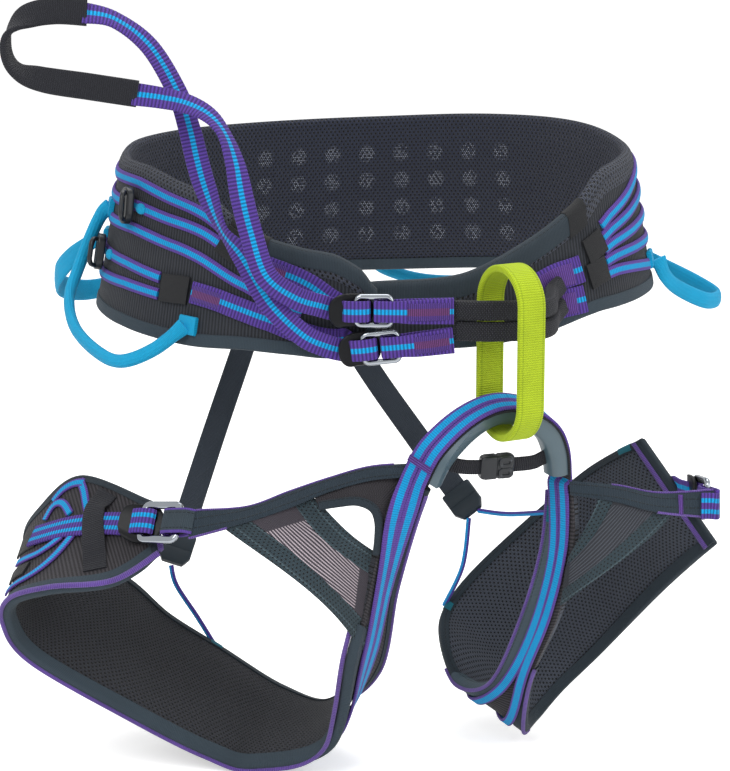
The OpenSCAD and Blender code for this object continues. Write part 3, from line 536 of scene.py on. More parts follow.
# (half width + k) cos, (half depth + k) sin, where k = distance outside + outset - lean * height
def beltPoint(phi, z, n):
    phi, z = np.asarray(phi, float), np.asarray(z, float)
    k = n + rowAt(belt["rows"], phi)[..., 3] - belt["lean"] * z
    x = (belt["halfWidth"] + k) * np.cos(np.radians(phi))
    y = (belt["halfDepth"] + k) * np.sin(np.radians(phi))
    return np.stack(np.broadcast_arrays(x, y, z), -1)


def beltEdges(phi):
    r = rowAt(belt["rows"], np.asarray(phi, float))
    return r[..., 1], r[..., 2]


# angles between two, spaced evenly along the belt
def beltAngles(first, last, step):
    fine = np.linspace(first, last, 600)
    run = runOf(beltPoint(fine, 0 * fine, 0))
    return np.interp(np.linspace(0, run[-1], max(6, int(run[-1] / step))), run, fine)


# line on the belt through rows of (angle, height share), n outside its face, with its section axes
def beltRun(path, n, step):
    path = np.asarray(path, float)
    phi = beltAngles(path[0, 0], path[-1, 0], step)
    low, high = beltEdges(phi)
    z = low + (high - low) * rowAt(path, phi)[..., 1]
    c = beltPoint(phi, z, n)
    across, out = sectionAxes(c, beltPoint(phi, z + 1, n) - beltPoint(phi, z - 1, n))
    return c, across, out * np.sign(np.sum(out * (c * (1, 1, 0)), 1))[:, None]


def crown(v, edge):
    return edge + (1 - edge) * (1 - (2 * v - 1) ** 4)


# mesh across the belt: each column is a height and a distance outside, carried round by angle
def beltLoft(name, phi, z, n, top=None):
    grid = beltPoint(phi[:, None], z, n)
    run = runOf(beltPoint(phi, 0 * phi, 0))
    ring = np.linalg.norm(np.diff(np.concatenate([grid, grid[:, :1]], 1), axis=1), axis=2)
    ring = np.concatenate([0 * ring[:, :1], np.cumsum(ring, 1)], 1)
    if top is not None:
        ring = ring - ring[:, top:top + 1]
    return gridPiece(name, grid, runUv(run, ring), sharp=50)


# leg loops: a ruled strip between a hip-side edge and a knee-side edge, outwards by its sign
leftLeg = dict(sign=1, shell=1.6, lining=6.0, far=fromFront([
    (-131, -10, -139), (-176, 32, -134), (-204, 46, -158), (-215, 60, -180), (-206, 72, -202),
    (-162, 82, -212), (-132, 87, -240), (-99, 87, -262), (-60, 77, -284), (-28, 55, -286), (1, 17, -251),
    (11, -8, -193), (21, -26, -149), (28, -38, -125)]), near=fromFront([
    (-125, -32, -163), (-151, -41, -177), (-188, -38, -182), (-212, -28, -192), (-217, -18, -210),
    (-203, -8, -236), (-148, 2, -274), (-103, 4, -299), (-73, 2, -307), (-26, -8, -290), (-12, -26, -226),
    (-2, -34, -179), (5, -35, -141), (13.5, -30, -117)]))
rightLeg = dict(sign=-1, shell=1.6, lining=6.0, far=fromFront([
    (166, 92, -126), (133, 122, -156), (71, 117, -210), (45, 107, -239), (40, 87, -254), (50, 62, -275),
    (70, 35, -264), (87, 12, -215), (98, 5, -169), (101, 5, -126)]), near=fromFront([
    (205, 42, -178), (178, 62, -212), (141, 82, -260), (116, 80, -285), (99, 67, -300), (90, 42, -297),
    (92, 18, -258), (106, -5, -210), (114, -10, -167), (112, -8, -127)]))


# from the hip-side edge to the knee-side edge
def legWay(leg, s):
    return curveAt(leg["near"], s) - curveAt(leg["far"], s)


# point = straight line between the two edges + normal * n, the normal square to both directions of the strip
def legPoint(leg, s, v, n):
    s, v = np.broadcast_arrays(np.asarray(s, float), np.asarray(v, float))
    step = [curveAt(leg[k], s + 0.02) - curveAt(leg[k], s - 0.02) for k in ("far", "near")]
    along = step[0] + (step[1] - step[0]) * v[..., None]
    way = legWay(leg, s)
    normal = leg["sign"] * unit(np.cross(along, way))
    return curveAt(leg["far"], s) + way * v[..., None] + normal * np.asarray(n)[..., None]


def legRim(leg, s, out):
    return legPoint(leg, s, 0.0, -leg["shell"]) - unit(legWay(leg, s)) * out


# risers hang from the inside of the belt's back; each ends in a clip
riser = dict(width=15, thick=1.8, seat=-11.2, height=-34, clipFoot=12.6, clipWidth=20.2, clipThick=6)
rails = dict(
    left=dict(angle=116, rows=[(-84, 186, -78), (-104, 132, -134), (-124, 85, -193)],
              dirs=[(1, 0, -0.1), (1, 0, -0.3)]),
    right=dict(angle=107, rows=[(-8, 172, -92), (26, 124, -132), (54, 90, -164)],
               dirs=[(1, 0, 0.3), (0.8, 0, 0.5)]))
for rail in rails.values():
    top = beltPoint(rail["angle"], riser["height"], riser["seat"])
    rail["path"] = np.concatenate([top[None], fromFront(rail["rows"])])
    last = len(rail["path"]) - 1
    rail["along"] = unit(curveAt(rail["path"], last + 0.02) - curveAt(rail["path"], last - 0.02))
    side = np.array(rail["dirs"][1])
    rail["side"] = unit(side - rail["along"] * (rail["along"] @ side))
    rail["foot"] = rail["path"][-1] + rail["along"] * riser["clipFoot"]

# elastic cords, taut from the clips to the hip-side edges of the legs, each in view from end to end
# rows: riser, leg, node, side of the clip, points on the way, station on the leg's edge
cord = dict(diameter=3.0, spread=4.0, edge=2.0, points=40, dirs=(0.4, 1.0, 0.0), rows=dict(
    leftCord=("left", leftLeg, "left_elastic_cord", 0, [(-124, 76, -215), (-112, 84, -238)], 6.9),
    rightCordFront=("right", rightLeg, "right_elastic_cords", 1, [(80, 56, -164)], 8.4),
    rightCordRear=("right", rightLeg, "right_elastic_cords", -1, [(54, 88, -206)], 3.0)))
cordCloth = cloth("elasticCord", "cyan_cord", "#0b93d6", (1.3, 0.3, 1.0, 0.25), [(2.7, 1.5, "#4a3490")])
for name, (side, leg, node, aside, way, station) in cord["rows"].items():
    foot = rails[side]["foot"] + aside * cord["spread"] * rails[side]["side"]
    rows = [foot, *fromFront(way), legRim(leg, station, cord["edge"])]
    line, across, out = evenLine(rows, cord["points"], cord["dirs"])
    piece = sweep(name, line, across, out, oval(cord["diameter"], cord["diameter"], 12), ring=True)
    dress(piece, cordCloth, ("belt", side + "_leg", *inMetres(line[0], line[-1])), node)
    round(runOf(line)[-1] * mm, 3)
    print(name, round(runOf(line)[-1]), "mm")


# belt shell: ribbed outer fabric, a thin slab with rounded edges
span = (belt["rows"][0][0], belt["rows"][-1][0])
phi = beltAngles(*span, belt["step"])
low, high = (q[:, None] for q in beltEdges(phi))
tall = high - low
share = np.linspace(0.01, 0.99, belt["columns"])
depth = np.repeat([0, -belt["shell"]], belt["columns"])
shell = beltLoft("waistShell", phi, low + tall * np.concatenate([share, share[::-1]]), depth)
dress(shell, shellCloth, "belt", "waist_shell")


# pale speckles in columns and rows of vents, and a paler rim, which is painted sheen on the mesh where it
# rolls over the top edge
vents = dict(first=0.388, pitch=0.0247, columns=8, top=-0.0268, row=0.0183, rows=4, half=0.0056)


def ventsAndRimSheen(along, across, colour):
    fine = useGroup(holesGroup, Along=along, Across=across, Pitch=1.5, Row=1.2, Radius=0.36)[0]
    offs = []
    for line, first, pitch, count in ((along, vents["first"], vents["pitch"], vents["columns"]),
                                      (across, vents["top"], -vents["row"], vents["rows"])):
        place = over(minus(line, first), pitch)
        nearest = calc("MINIMUM", calc("MAXIMUM", calc("ROUND", place), 0.0), count - 1.0)
        offs.append(times(minus(place, nearest), pitch))
    inside = ramp(farOf(*offs), vents["half"] * 1.2, vents["half"] * 0.7)
    place = put("ShaderNodeTexCoord", {}, along.id_data).outputs["Object"]
    speckles = times(fine, ramp(noise(place, 420.0, 1.0), 0.36, 0.52))
    # paler rim: painted sheen on the mesh where it rolls over the top edge
    colour = mixed(ramp(across, -4 * mm, 1 * mm), colour, tint("#404552"))
    return mixed(times(inside, speckles), colour, tint("#b4bac6"))


# belt lining: a crowned pad whose mesh rolls over the top edge and is sewn down outside
liningCloth = cloth("meshLining", "mesh_lining", "#2d3346", (1.1, 0.25, 1.1, 0.25),
                    holes=(3.1, 2.1, 0.78, 0.99, 40), sheen=0.1, relief=0.8, extra=ventsAndRimSheen)
rim = dict(lip=9.5, lipShare=0.3, swell=2.6, face=(0.02, 0.95), faceRows=26, rollRows=11, outside=0.5,
           flapDown=[0.15, 0.5, 0.9, 1.0, 0.9, 0.3], flapOut=[0.5, 0.5, 0.45, 0.1, -0.3, -0.6],
           back=[0.9, 0.6, 0.3, 0.03])
share = np.linspace(*rim["face"], rim["faceRows"])
inside = -(belt["shell"] + belt["gap"] + belt["lining"] * crown(share, belt["liningEdge"]))
faceZ = low + tall * share
turn = np.linspace(np.pi, 0, rim["rollRows"])
rollN = (inside[-1] + rim["outside"]) / 2 + np.cos(turn) * (rim["outside"] - inside[-1]) / 2
rollZ = faceZ[:, -1:] + (high - faceZ[:, -1:]) * np.sin(turn) ** 0.8 + rim["swell"] * np.sin(turn)
flapZ = high - 1 - np.minimum(rim["lip"], tall * rim["lipShare"]) * np.array(rim["flapDown"])
z = np.concatenate([faceZ, rollZ[:, 1:], flapZ, low + tall * np.array(rim["back"])], 1)
back = np.full(len(rim["back"]), -belt["shell"] - belt["behind"])
n = np.concatenate([inside, rollN[1:], rim["flapOut"], back])
lining = beltLoft("waistLining", phi, z, n, top=rim["faceRows"] + rim["rollRows"] // 2)
dress(lining, liningCloth, "belt", "waist_lining")
print("belt shell and lining ready")

# bindings fold round an edge: out over the face, half round the edge, and in over the lining
fold = dict(lap=np.array([1.0, 0.97, 0.75, 0.5, 0.25, 0.05]), turnRows=9, widest=0.48, lowBulge=1.6,
            beltFace=np.array([0.1, 0.75, 0.95, 0.95, 0.95, 0.9]), beltSkin=0.7,
            legFace=np.array([0.1, 0.6, 0.75, 0.75, 0.75, 0.7]), legSkin=0.6, legBulge=1.4, legInner=0.72)


# distances from the edge, and distances outside, of a fold that reaches so far over the two faces
def foldOver(reach, face, deep, bulge, inner=1.0):
    turn = np.linspace(0, np.pi, fold["turnRows"])[1:-1]
    lap, last = fold["lap"] * reach, deep[:, -1:]
    off = [lap, lap[:, -1:] - (bulge + lap[:, -1:]) * np.sin(turn), inner * lap[:, ::-1]]
    mid, half = (face[-1] - last) / 2, (face[-1] + last) / 2
    n = [0 * last + face, mid + half * np.cos(turn), -deep[:, ::-1]]
    return np.concatenate(off, 1), np.concatenate(n, 1)


def beltBinding(name, first, last, top, wide=9.0, lift=0.0):
    phi = beltAngles(first, last, belt["step"])
    low, high = (q[:, None] for q in beltEdges(phi))
    reach = np.minimum(wide, (high - low) * fold["widest"])
    pad = belt["lining"] * crown(fold["lap"] * reach / (high - low), belt["liningEdge"])
    bulge = (rim["swell"] + 1.0 if top else fold["lowBulge"]) + lift
    off, n = foldOver(reach, fold["beltFace"] + lift,
                      belt["shell"] + belt["gap"] + pad + fold["beltSkin"] + lift, bulge)
    middle = len(fold["lap"]) + fold["turnRows"] // 2
    return beltLoft(name, phi, high - off if top else low + off, n, top=middle)


# the upper edge is bound at its two front ends only
bound = dict(narrow=6.5, rightEnd=-44, leftStart=243)
dress(beltBinding("beltLowerBinding", *span, False, bound["narrow"]), tealCloth, "belt")
dress(beltBinding("beltRightBinding", span[0], bound["rightEnd"], True), shadedRimCloth, "belt")
dress(beltBinding("beltLeftBinding", bound["leftStart"], span[1], True, bound["narrow"]), shadedRimCloth, "belt")

# load bands: raised cyan middle between flat purple edges
band = dict(width=6.8, rise=1.2, step=1.6, paths=[
    [(-36, 0.68), (0, 0.92), (90, 0.88), (170, 0.90), (195, 0.92), (237, 0.91)],
    [(-36, 0.58), (0, 0.74), (90, 0.69), (170, 0.76), (207, 0.77), (237, 0.79)],
    [(-36, 0.48), (0, 0.55), (90, 0.50), (170, 0.60), (193, 0.62), (226, 0.62), (244, 0.56), (256, 0.44)],
    [(-36, 0.38), (0, 0.36), (90, 0.31), (170, 0.38), (193, 0.40), (221, 0.39)],
    [(-36, 0.28), (0, 0.15), (90, 0.12), (170, 0.20), (190, 0.24), (221, 0.28)]])
x = np.linspace(-1, 1, 11)
top = np.stack([x * band["width"] / 2, 0.35 + 0.55 * np.exp(-(x / 0.6) ** 4) - 0.4 * x ** 12], 1)
bandProfile = np.concatenate([top, top[::-1] * (1, 0) + (0, -0.8)])
for k, path in enumerate(band["paths"], 1):
    piece = sweep(f"beltBand{k}", *beltRun(path, band["rise"], band["step"]), bandProfile)
    dress(piece, bandCloth, "belt", f"belt_band_{k}")

# plain tabs over the band ends, on the belt's rim and front
tabs = dict(thick=1.6, rise=1.6, step=1.2, paths=[  # width, ends
    (18, (237.6, 0.85), (246.4, 0.84)), (16.5, (222.0, 0.335), (230.0, 0.36)),
    (15, (-42.6, 0.585), (-36.4, 0.58)), (15, (-42.6, 0.345), (-36.4, 0.34))],
    rimWide=11.0, rimLift=0.5, rims=[(-46.5, -41.0), (239.4, 248.4)])
pieces = [sweep("tab", *beltRun(path, tabs["rise"], tabs["step"]), roundRect(wide, tabs["thick"], 0.6))
          for wide, *path in tabs["paths"]]
dress(joined("endTabs", pieces), tabCloth, "belt", "label_tabs")
rimTabs = [beltBinding("rimTab", *ends, True, tabs["rimWide"], tabs["rimLift"]) for ends in tabs["rims"]]
dress(joined("rimTabs", rimTabs), tabCloth, "belt")
print("bindings, bands and tabs ready")


# straps sewn on the belt, webbing n outside its face, with points that lead it off the belt
def beltStrap(name, path, w, t, n, rib=0.0, lead=()):
    c, across, _ = beltRun(path, n, 2.0)
    lead = np.reshape(lead, (-1, 3))
    return webbing(name, np.concatenate([c, lead]), np.concatenate([across, 0 * lead + (0, 0, 1)]), w, t, rib)


strap = dict(width=13, thick=1.8, seat=1.3, rib=2.1,
             upper=([(247, 0.80), (252, 0.78), (257, 0.72), (263, 0.56)],
                    [(-17, -129.8, -23.5), (-8, -131.6, -24)]),
             lower=([(231, 0.36), (240, 0.36), (250, 0.30), (258, 0.20), (264, 0.17)],
                    [(-14, -129.8, -45), (-4, -131.6, -45.5)]))
tack = dict(thick=0.9, seat=2.3, width=9.0, upper=[(247.4, 0.80), (250.0, 0.79), (252.5, 0.775)],
            lower=[(231.4, 0.36), (234.0, 0.36), (238.6, 0.36)])
for side in ("upper", "lower"):
    path, lead = strap[side]
    dress(beltStrap(side + "WaistStrap", path, strap["width"], strap["thick"], strap["seat"],
                    strap["rib"], lead), oneStripe, "belt", side + "_waist_strap")
tacks = [beltStrap("tack", tack[side], tack["width"], tack["thick"], tack["seat"])
         for side in ("upper", "lower")]
dress(joined("strapBarTacks", tacks), tackCloth, "belt")

# buckles: x along the strap, y into the body, z across
buckle = dict(bar=3.2, plate=2.4, bevel=0.8, gap=0.4, play=0.6, turnIn=7.0, turnOut=7.5, lead=12.0)


def facing(ahead, out):
    x, out = unit(np.array(ahead, float)), np.array(out, float)
    y = -unit(out - x * (x @ out))
    return np.array([x, y, np.cross(x, y)])


def placed(points, at, axes):
    return np.asarray(points, float) @ axes + at


# a bar of one section carried round an outline that lies square to one of three axes
def barLoop(name, outline, flat, at, axes, section, level=0.0):
    line = placed(np.insert(outline, flat, level, axis=1), at, axes)
    return sweep(name, line, *sectionAxes(line, axes[flat], closed=True), section, closed=True)


# a slab whose outline is inset at its two faces, so its edge is rounded; bent forward at its left end
def slab(name, outline, thick, bevel, at, axes, centre, bend):
    rows = [(thick / 2, bevel), (thick / 2 - bevel * 0.3, bevel * 0.35), (thick / 2 - bevel, 0.0)]
    rows = [(-y, b) for y, b in rows] + rows[::-1]
    grid = np.stack([np.insert(outline(b), 1, y, axis=1) for y, b in rows])
    flat = np.concatenate([grid, grid[:, :1]], 1)[..., [0, 2]]
    grid = grid + centre
    start, end, rise = bend
    grid[..., 1] -= rise * smooth((-grid[..., 0] - start) / (end - start))
    return gridPiece(name, placed(grid, at, axes), flat, sharp=30)


# path of webbing folded round a frame's right bar and sewn flat to a length of run
def anchorRows(w, run, bend, slack):
    eye = math.hypot(buckle["bar"], buckle["bar"]) / 2 + buckle["play"] + strap["thick"] / 2
    bar = w / 2 - buckle["bar"] / 2
    lead = min(buckle["lead"], (run - bar) * 0.6)
    rows = [(run, bend - eye), (bar + lead, -eye), (bar + lead / 4, -eye),
            (bar - eye * 0.7 - slack, -eye * 0.7), (bar - eye - slack, 0),
            (bar - eye * 0.7 - slack, eye * 0.7), (bar + lead / 4, eye), (bar + lead, eye - strap["thick"]),
            (run, bend - eye + strap["thick"] + buckle["gap"])]
    return np.insert(np.array(rows), 2, 0, axis=1)


# polished frame, black plate behind it and a turn of webbing over its left bar
def buckleSet(name, body, at, axes, kind, plateLeft, turnCloth):
    w, h, bar, gap = kind["width"], kind["height"], buckle["bar"], buckle["gap"]
    frameLoop = barLoop(name + "Frame", roundRect(w - bar, h - bar, 3.0, flat=8, corner=8), 1, at, axes,
                        roundRect(bar, kind["rod"], 1.45, flat=1, corner=5))
    dress(frameLoop, steelFinish, body, body + "_frame")

    def outline(b):
        return roundRect(plateLeft - 2 * b, h - gap - 2 * b, h * 0.42 - b, flat=14, corner=9)

    plate = slab(name + "Plate", outline, buckle["plate"], buckle["bevel"], at, axes,
                 (-plateLeft / 2, (bar + buckle["plate"]) / 2 + gap, 0), kind["plateBend"])
    dress(plate, plateFinish, body, body + "_plate")
    rise, left = bar / 2 + gap + strap["thick"] / 2, -w / 2 + bar / 2
    rows = [(left + buckle["turnIn"], 0, 0), (left + buckle["turnIn"] * 0.8, -rise * 0.8, 0),
            (left, -rise - gap, 0), (left - buckle["turnOut"] * 0.75, -rise * 0.8, 0),
            (left - buckle["turnOut"], 0, 0)]
    dress(webbing(name + "Turn", placed(rows, at, axes), axes[2], kind["web"], strap["thick"], strap["rib"]),
          turnCloth, body, body + "_turn")


def turned(angle, axis):
    c, s = math.cos(math.radians(angle)), math.sin(math.radians(angle))
    i, j = (axis + 1) % 3, (axis + 2) % 3
    m = np.eye(3)
    m[i, i] = m[j, j] = c
    m[i, j], m[j, i] = -s, s
    return m


# waist buckles: place, lean, run of the anchor strap, length of the plate
waistBuckle = dict(width=23, height=19.4, rod=3.2, web=12.2, plateBend=(13.5, 21, 5.4), anchorBend=3.0,
                   slack=5.2, flare=(2.8, 1.4, 0, 0, 0, 0, 0, 1.4, 2.8), tackWide=10.0,
                   tack=[(-3, -0.95, 0), (6, -0.8, 0), (-2.2, -0.95, 0)],
                   upper=((-2, -137, -24.0), 0, 44.8, 25.5), lower=((2, -137, -45.0), 6, 41.0, 24.0))
for side in ("upper", "lower"):
    at, lean, run, plateLeft = waistBuckle[side]
    axes = turned(lean, 1)
    buckleSet(side + "Buckle", side + "_buckle", at, axes, waistBuckle, plateLeft, oneStripe)
    rows = anchorRows(waistBuckle["width"], run, waistBuckle["anchorBend"], waistBuckle["slack"])
    wide = waistBuckle["web"] + np.array(waistBuckle["flare"])
    dress(webbing(side + "AnchorStrap", placed(rows, at, axes), axes[2], wide, strap["thick"], strap["rib"]),
          oneStripe, "belt", side + "_anchor_strap")
    sewn = placed(rows[[1, 1, 0]] + waistBuckle["tack"], at, axes)
    dress(webbing(side + "AnchorTack", sewn, axes[2], waistBuckle["tackWide"], tack["thick"]),
          tackCloth, "belt")

# tie-in loop: two stacked wear sleeves, and the webbing that sews them to the right of the belt
sleeve = dict(height=11.2, thick=8.2, heights=(-24, -36), seat=6.6, points=60,
              rows=[(44, -21), (64, -24), (86, -20), (98, -8)], ends=[(-55, 3, 2), (-51.5, 8, -2)],
              webShares=(-0.15, 0.15), web=[(-57, 0.37), (-52, 0.38), (-44.6, 0.32)], webWide=16.4,
              tack=[(-55.5, 0.37), (-51, 0.37), (-47.2, 0.33)], tackWide=12.4)
t = np.linspace(0, 1, sleeve["points"])[:, None]
# flatter at its sewn ends
squeeze = 1 - 0.16 * np.exp(-(t / 0.03) ** 2) - 0.3 * np.exp(-((1 - t) / 0.05) ** 2)
profile = roundRect(sleeve["height"], sleeve["thick"], 3.0, flat=4, corner=5)
profile = profile[None] * np.stack([0 * squeeze + 1, squeeze], -1)
pieces = []
for z in sleeve["heights"]:
    sewn = [beltPoint([angle], z + up, sleeve["seat"] + off) for angle, up, off in sleeve["ends"]]
    rows = np.concatenate([fromFront([(*q, z) for q in sleeve["rows"]]), *sewn])
    pieces.append(sweep("sleeve", *evenLine(rows, sleeve["points"], (0, 0, 1)), profile))
dress(joined("tieInSleeves", pieces), sleeveCloth, "belt", "tie_in_sleeves")
tieIn = [beltStrap("tieIn", np.add(sleeve["web"], (0, k)), sleeve["webWide"], strap["thick"],
                   strap["seat"], strap["rib"]) for k in sleeve["webShares"]]
dress(joined("tieInWebbing", tieIn), oneStripe, "belt", "tie_in_webbing")
tieInTacks = [beltStrap("tack", np.add(sleeve["tack"], (0, k)), sleeve["tackWide"], tack["thick"],
                        tack["seat"]) for k in sleeve["webShares"]]
dress(joined("tieInTacks", tieInTacks), purpleTack, "belt")
print("straps, buckles and tie-in loop ready")

# belay loop: ridged webbing round a stadium, its width along the turned front
belay = dict(at=(75, -138, -47.6), width=17, thick=4.0, halfDepth=21, run=55, rib=1.3, ribDepth=0.035,
             wide=(0.866, 0.5, 0), deep=(-0.5, 0.866, 0))
a = np.linspace(0, np.pi, 200, endpoint=False)
arc = np.stack([np.cos(a), np.sin(a)], 1) * belay["halfDepth"]
side = np.linspace(0, 1, 170, endpoint=False)[:, None] * (0, -belay["run"])
loop = np.concatenate([arc + (0, belay["run"] / 2), side + (-belay["halfDepth"], belay["run"] / 2),
                       -arc - (0, belay["run"] / 2), -side + (belay["halfDepth"], -belay["run"] / 2)])
line = belay["at"] + loop[:, :1] * belay["deep"] + loop[:, 1:] * (0, 0, 1)
length = runOf(np.concatenate([line, line[:1]]))[-1]
profile = ribbed(roundRect(belay["width"], belay["thick"], 1.1, flat=7, corner=4), runOf(line),
                 length / round(length / belay["rib"]), belay["ribDepth"])
piece = sweep("belayLoop", line, *sectionAxes(line, belay["wide"], closed=True), profile, closed=True)
dress(piece, limeCloth, "belay_loop", "belay_loop")

# strap tails that rise from the waist buckles: points, directions across, and two points handed on with their
# bodies
tails = dict(
    lower=([(-19, -22.5, -47), (-28, -24.2, -44.5), (-42, -28.5, -37), (-60, -30, -19), (-76, -28, 8),
            (-87, -23, 22), (-96, -16, 43), (-101, -10, 58), (-106, -4, 77), (-113, 0, 97), (-128, 2, 122),
            (-147, -1, 137), (-164, -3, 141)],
           [(-0.1, 0, 1), (0.2, 0, 1), (0.3, 0, 1), (0.6, 0.1, 0.8), (0.8, -0.4, 0.4), (0.5, -0.9, 0.1),
            (0.9, -0.3, 0.2), (1, 0.1, 0.3), (0.88, 0.4, 0.27), (0.73, 0.6, 0.33), (0.46, 0.71, 0.53),
            (0.17, 0.8, 0.58), (0, 0.5, 0.85)], (-26, -137, -46), (-60, -142, -19)),
    upper=([(-22.6, -22.5, -24), (-32, -25, -21), (-46, -33, -15), (-62, -37, -2), (-70, -39, 22),
            (-75, -37, 42), (-79, -33, 61), (-85, -27, 76), (-94, -22, 86), (-107, -18, 92), (-121, -17, 95),
            (-136, -16, 97)],
           [(0, 0, 1), (0.2, 0, 1), (0.3, 0, 1), (0.8, 0, 0.5), (1, 0.1, 0.2), (1, 0.2, 0.2),
            (0.65, 0.71, 0.25), (0.34, 0.92, 0.2), (0.32, 0.83, 0.45), (0.24, 0.66, 0.71), (0.08, 0.5, 0.85),
            (0, 0.3, 0.95)],
           (-30, -137, -22), (-64, -145, -5)))
for side, (rows, dirs, start, end) in tails.items():
    piece = webbing(side + "StrapTail", fromFront(rows), dirs, strap["width"], strap["thick"], strap["rib"])
    dress(piece, oneStripe, ("belt", "strap_tails", *inMetres(start, end)), side + "_strap_tail")

# black webbing that joins the ends of the tails
joining = dict(width=15, thick=3.6, rib=1.2, ribDepth=0.03,
               rows=[(-162, -3, 141), (-180, -5, 142), (-195, -8, 139), (-205, -11, 130), (-206, -13, 119),
                     (-200, -15, 110), (-186, -16, 105), (-160, -16, 101), (-133.5, -16, 97)],
               dirs=[(0, 0.2, 1), (0, 0.4, 0.9), (0.1, 0.9, 0.2), (0.1, 0.9, 0.3), (0, 0.3, 1), (0, 0, 1)])
dress(webbing("tailJoiningLoop", fromFront(joining["rows"]), joining["dirs"], joining["width"],
              joining["thick"], joining["rib"], joining["ribDepth"]),
      blackCloth, "strap_tails", "tail_joining_loop")

# gear loops: tubular webbing with lengthwise ridges, stations of angle, height and distance from the belt
gear = dict(height=8.0, thick=6.4, sides=72, ridges=12, ridge=0.05, points=110,
            endWide=11.0, endThick=3.0, endTurn=2.2, endSeat=1.9,
            broad=dict(left_rear=(1.7, 0.6), right=(1.25, 0.7)), loops=dict(
    left_front=[(231, -40, 4.6), (226, -54, 12), (220, -62, 19), (213, -59, 21), (203, -49, 22),
                (196, -34, 22), (192, -18, 17), (189, 2, 11), (187.5, 14, 6.4), (188.5, 19, 2.2)],
    left_rear=[(178, -2, 5.4), (175, -16, 22), (171, -30, 32), (165, -40, 34), (157, -45, 27), (150, -40, 14),
               (146, -30, 5.4)],
    back=[(92, -31, 5.4), (88, -43, 10), (80, -51, 14), (70, -51, 16), (61, -43, 12), (56, -29, 5.4)],
    right=[(-8, -13, 6.4), (-7, -24, 9), (-4, -33, 16), (0, -42, 32), (5, -42, 42), (10, -36, 35),
           (16, -25, 18), (20, -17, 6.4)]))
ridged = oval(gear["height"], gear["thick"], gear["sides"])
a = 2 * np.pi * np.arange(gear["sides"]) / gear["sides"]
ridged = ridged * (1 + gear["ridge"] * (np.abs(np.cos(gear["ridges"] / 2 * a)) - 0.5))[:, None]
t = np.linspace(0, 1, gear["points"])
flat = 1 - 0.45 * np.exp(-(np.minimum(t, 1 - t) / 0.03) ** 2)  # pressed flat where it is sewn
ends = []
for name, rows in gear["loops"].items():
    rows = np.array(rows, float)
    broad, slim = gear["broad"].get(name, (1, 1))
    wide = (1.5 - 0.5 * flat) * (1 + (broad - 1) * np.sin(np.pi * t))
    profile = ridged[None] * np.stack([wide, slim * flat], -1)[:, None]
    word = name.title().replace("_", "") + "GearLoop"
    line = evenLine(beltPoint(*rows.T), gear["points"], (0, 0, 1))
    piece = sweep(word[0].lower() + word[1:], *line, profile)
    dress(piece, loopCloth, name + "_gear_loop", name + "_gear_loop")
    for angle, height, _ in rows[[0, -1]]:
        lowEdge, highEdge = beltEdges(angle)
        at = (height - lowEdge) / (highEdge - lowEdge)
        sewn = beltRun([(angle - gear["endTurn"], at), (angle + gear["endTurn"], at)], gear["endSeat"], 0.8)
        ends.append(sweep("end", *sewn, roundRect(gear["endWide"], gear["endThick"], 1.2, flat=2)))
dress(joined("gearLoopEnds", ends), loopCloth, "belt")

# moulded slots for tool clips, standing on the second and fourth bands: a frame, and a thinner loop hinged
# on it that is turned to the front; a knot of the band beside each
slots = dict(at=[(207, 0.77), (193, 0.40)], width=12, height=22, thick=5, bar=3, lean=-12, stand=5.9,
             frontTurn=38, frontWidth=10.5, frontHeight=16, frontShift=(5.2, -1.0), frontBar=(2.8, 2.6),
             knotTurn=(2.2, 6.0), knotRise=1.0, knot=(6.4, 4.2))
pieces, knots = [], []
for angle, at in slots["at"]:
    lowEdge, highEdge = beltEdges(angle)
    centre = beltPoint(angle, lowEdge + (highEdge - lowEdge) * at, slots["stand"])
    upright = turned(90 - math.degrees(math.atan(belt["lean"])), 0)
    axes = (turned(angle + 90, 2) @ turned(slots["lean"], 1) @ upright).T
    outline = roundRect(slots["width"] - slots["bar"], slots["height"] - slots["bar"], 4.4, flat=6, corner=9)
    pieces.append(barLoop("slot", outline, 2, centre, axes,
                          roundRect(slots["thick"], slots["bar"], 1.0, flat=2, corner=4)))
    outline = roundRect(slots["frontWidth"], slots["frontHeight"], 4.0, flat=6, corner=9)
    pieces.append(barLoop("slot", outline + slots["frontShift"], 2, centre,
                          turned(slots["frontTurn"], 1) @ axes,
                          roundRect(*slots["frontBar"], 1.0, flat=2, corner=4)))
    ends = [(angle + k, at) for k in slots["knotTurn"]]
    c, across, out = beltRun(ends, band["rise"] + slots["knotRise"], 0.5)
    swell = np.sqrt(np.maximum(1 - np.linspace(-0.98, 0.98, len(c)) ** 2, 0.02))
    profile = oval(*slots["knot"], 20)[None] * swell[:, None, None]
    knots.append(sweep("knot", c, across, out, profile, ring=True))
dress(joined("toolClipSlots", pieces), plasticFinish, "belt", "tool_clip_slots")
dress(joined("bandKnots", knots), loopCloth, "belt")
print("belay loop, tails, gear loops and tool slots ready")

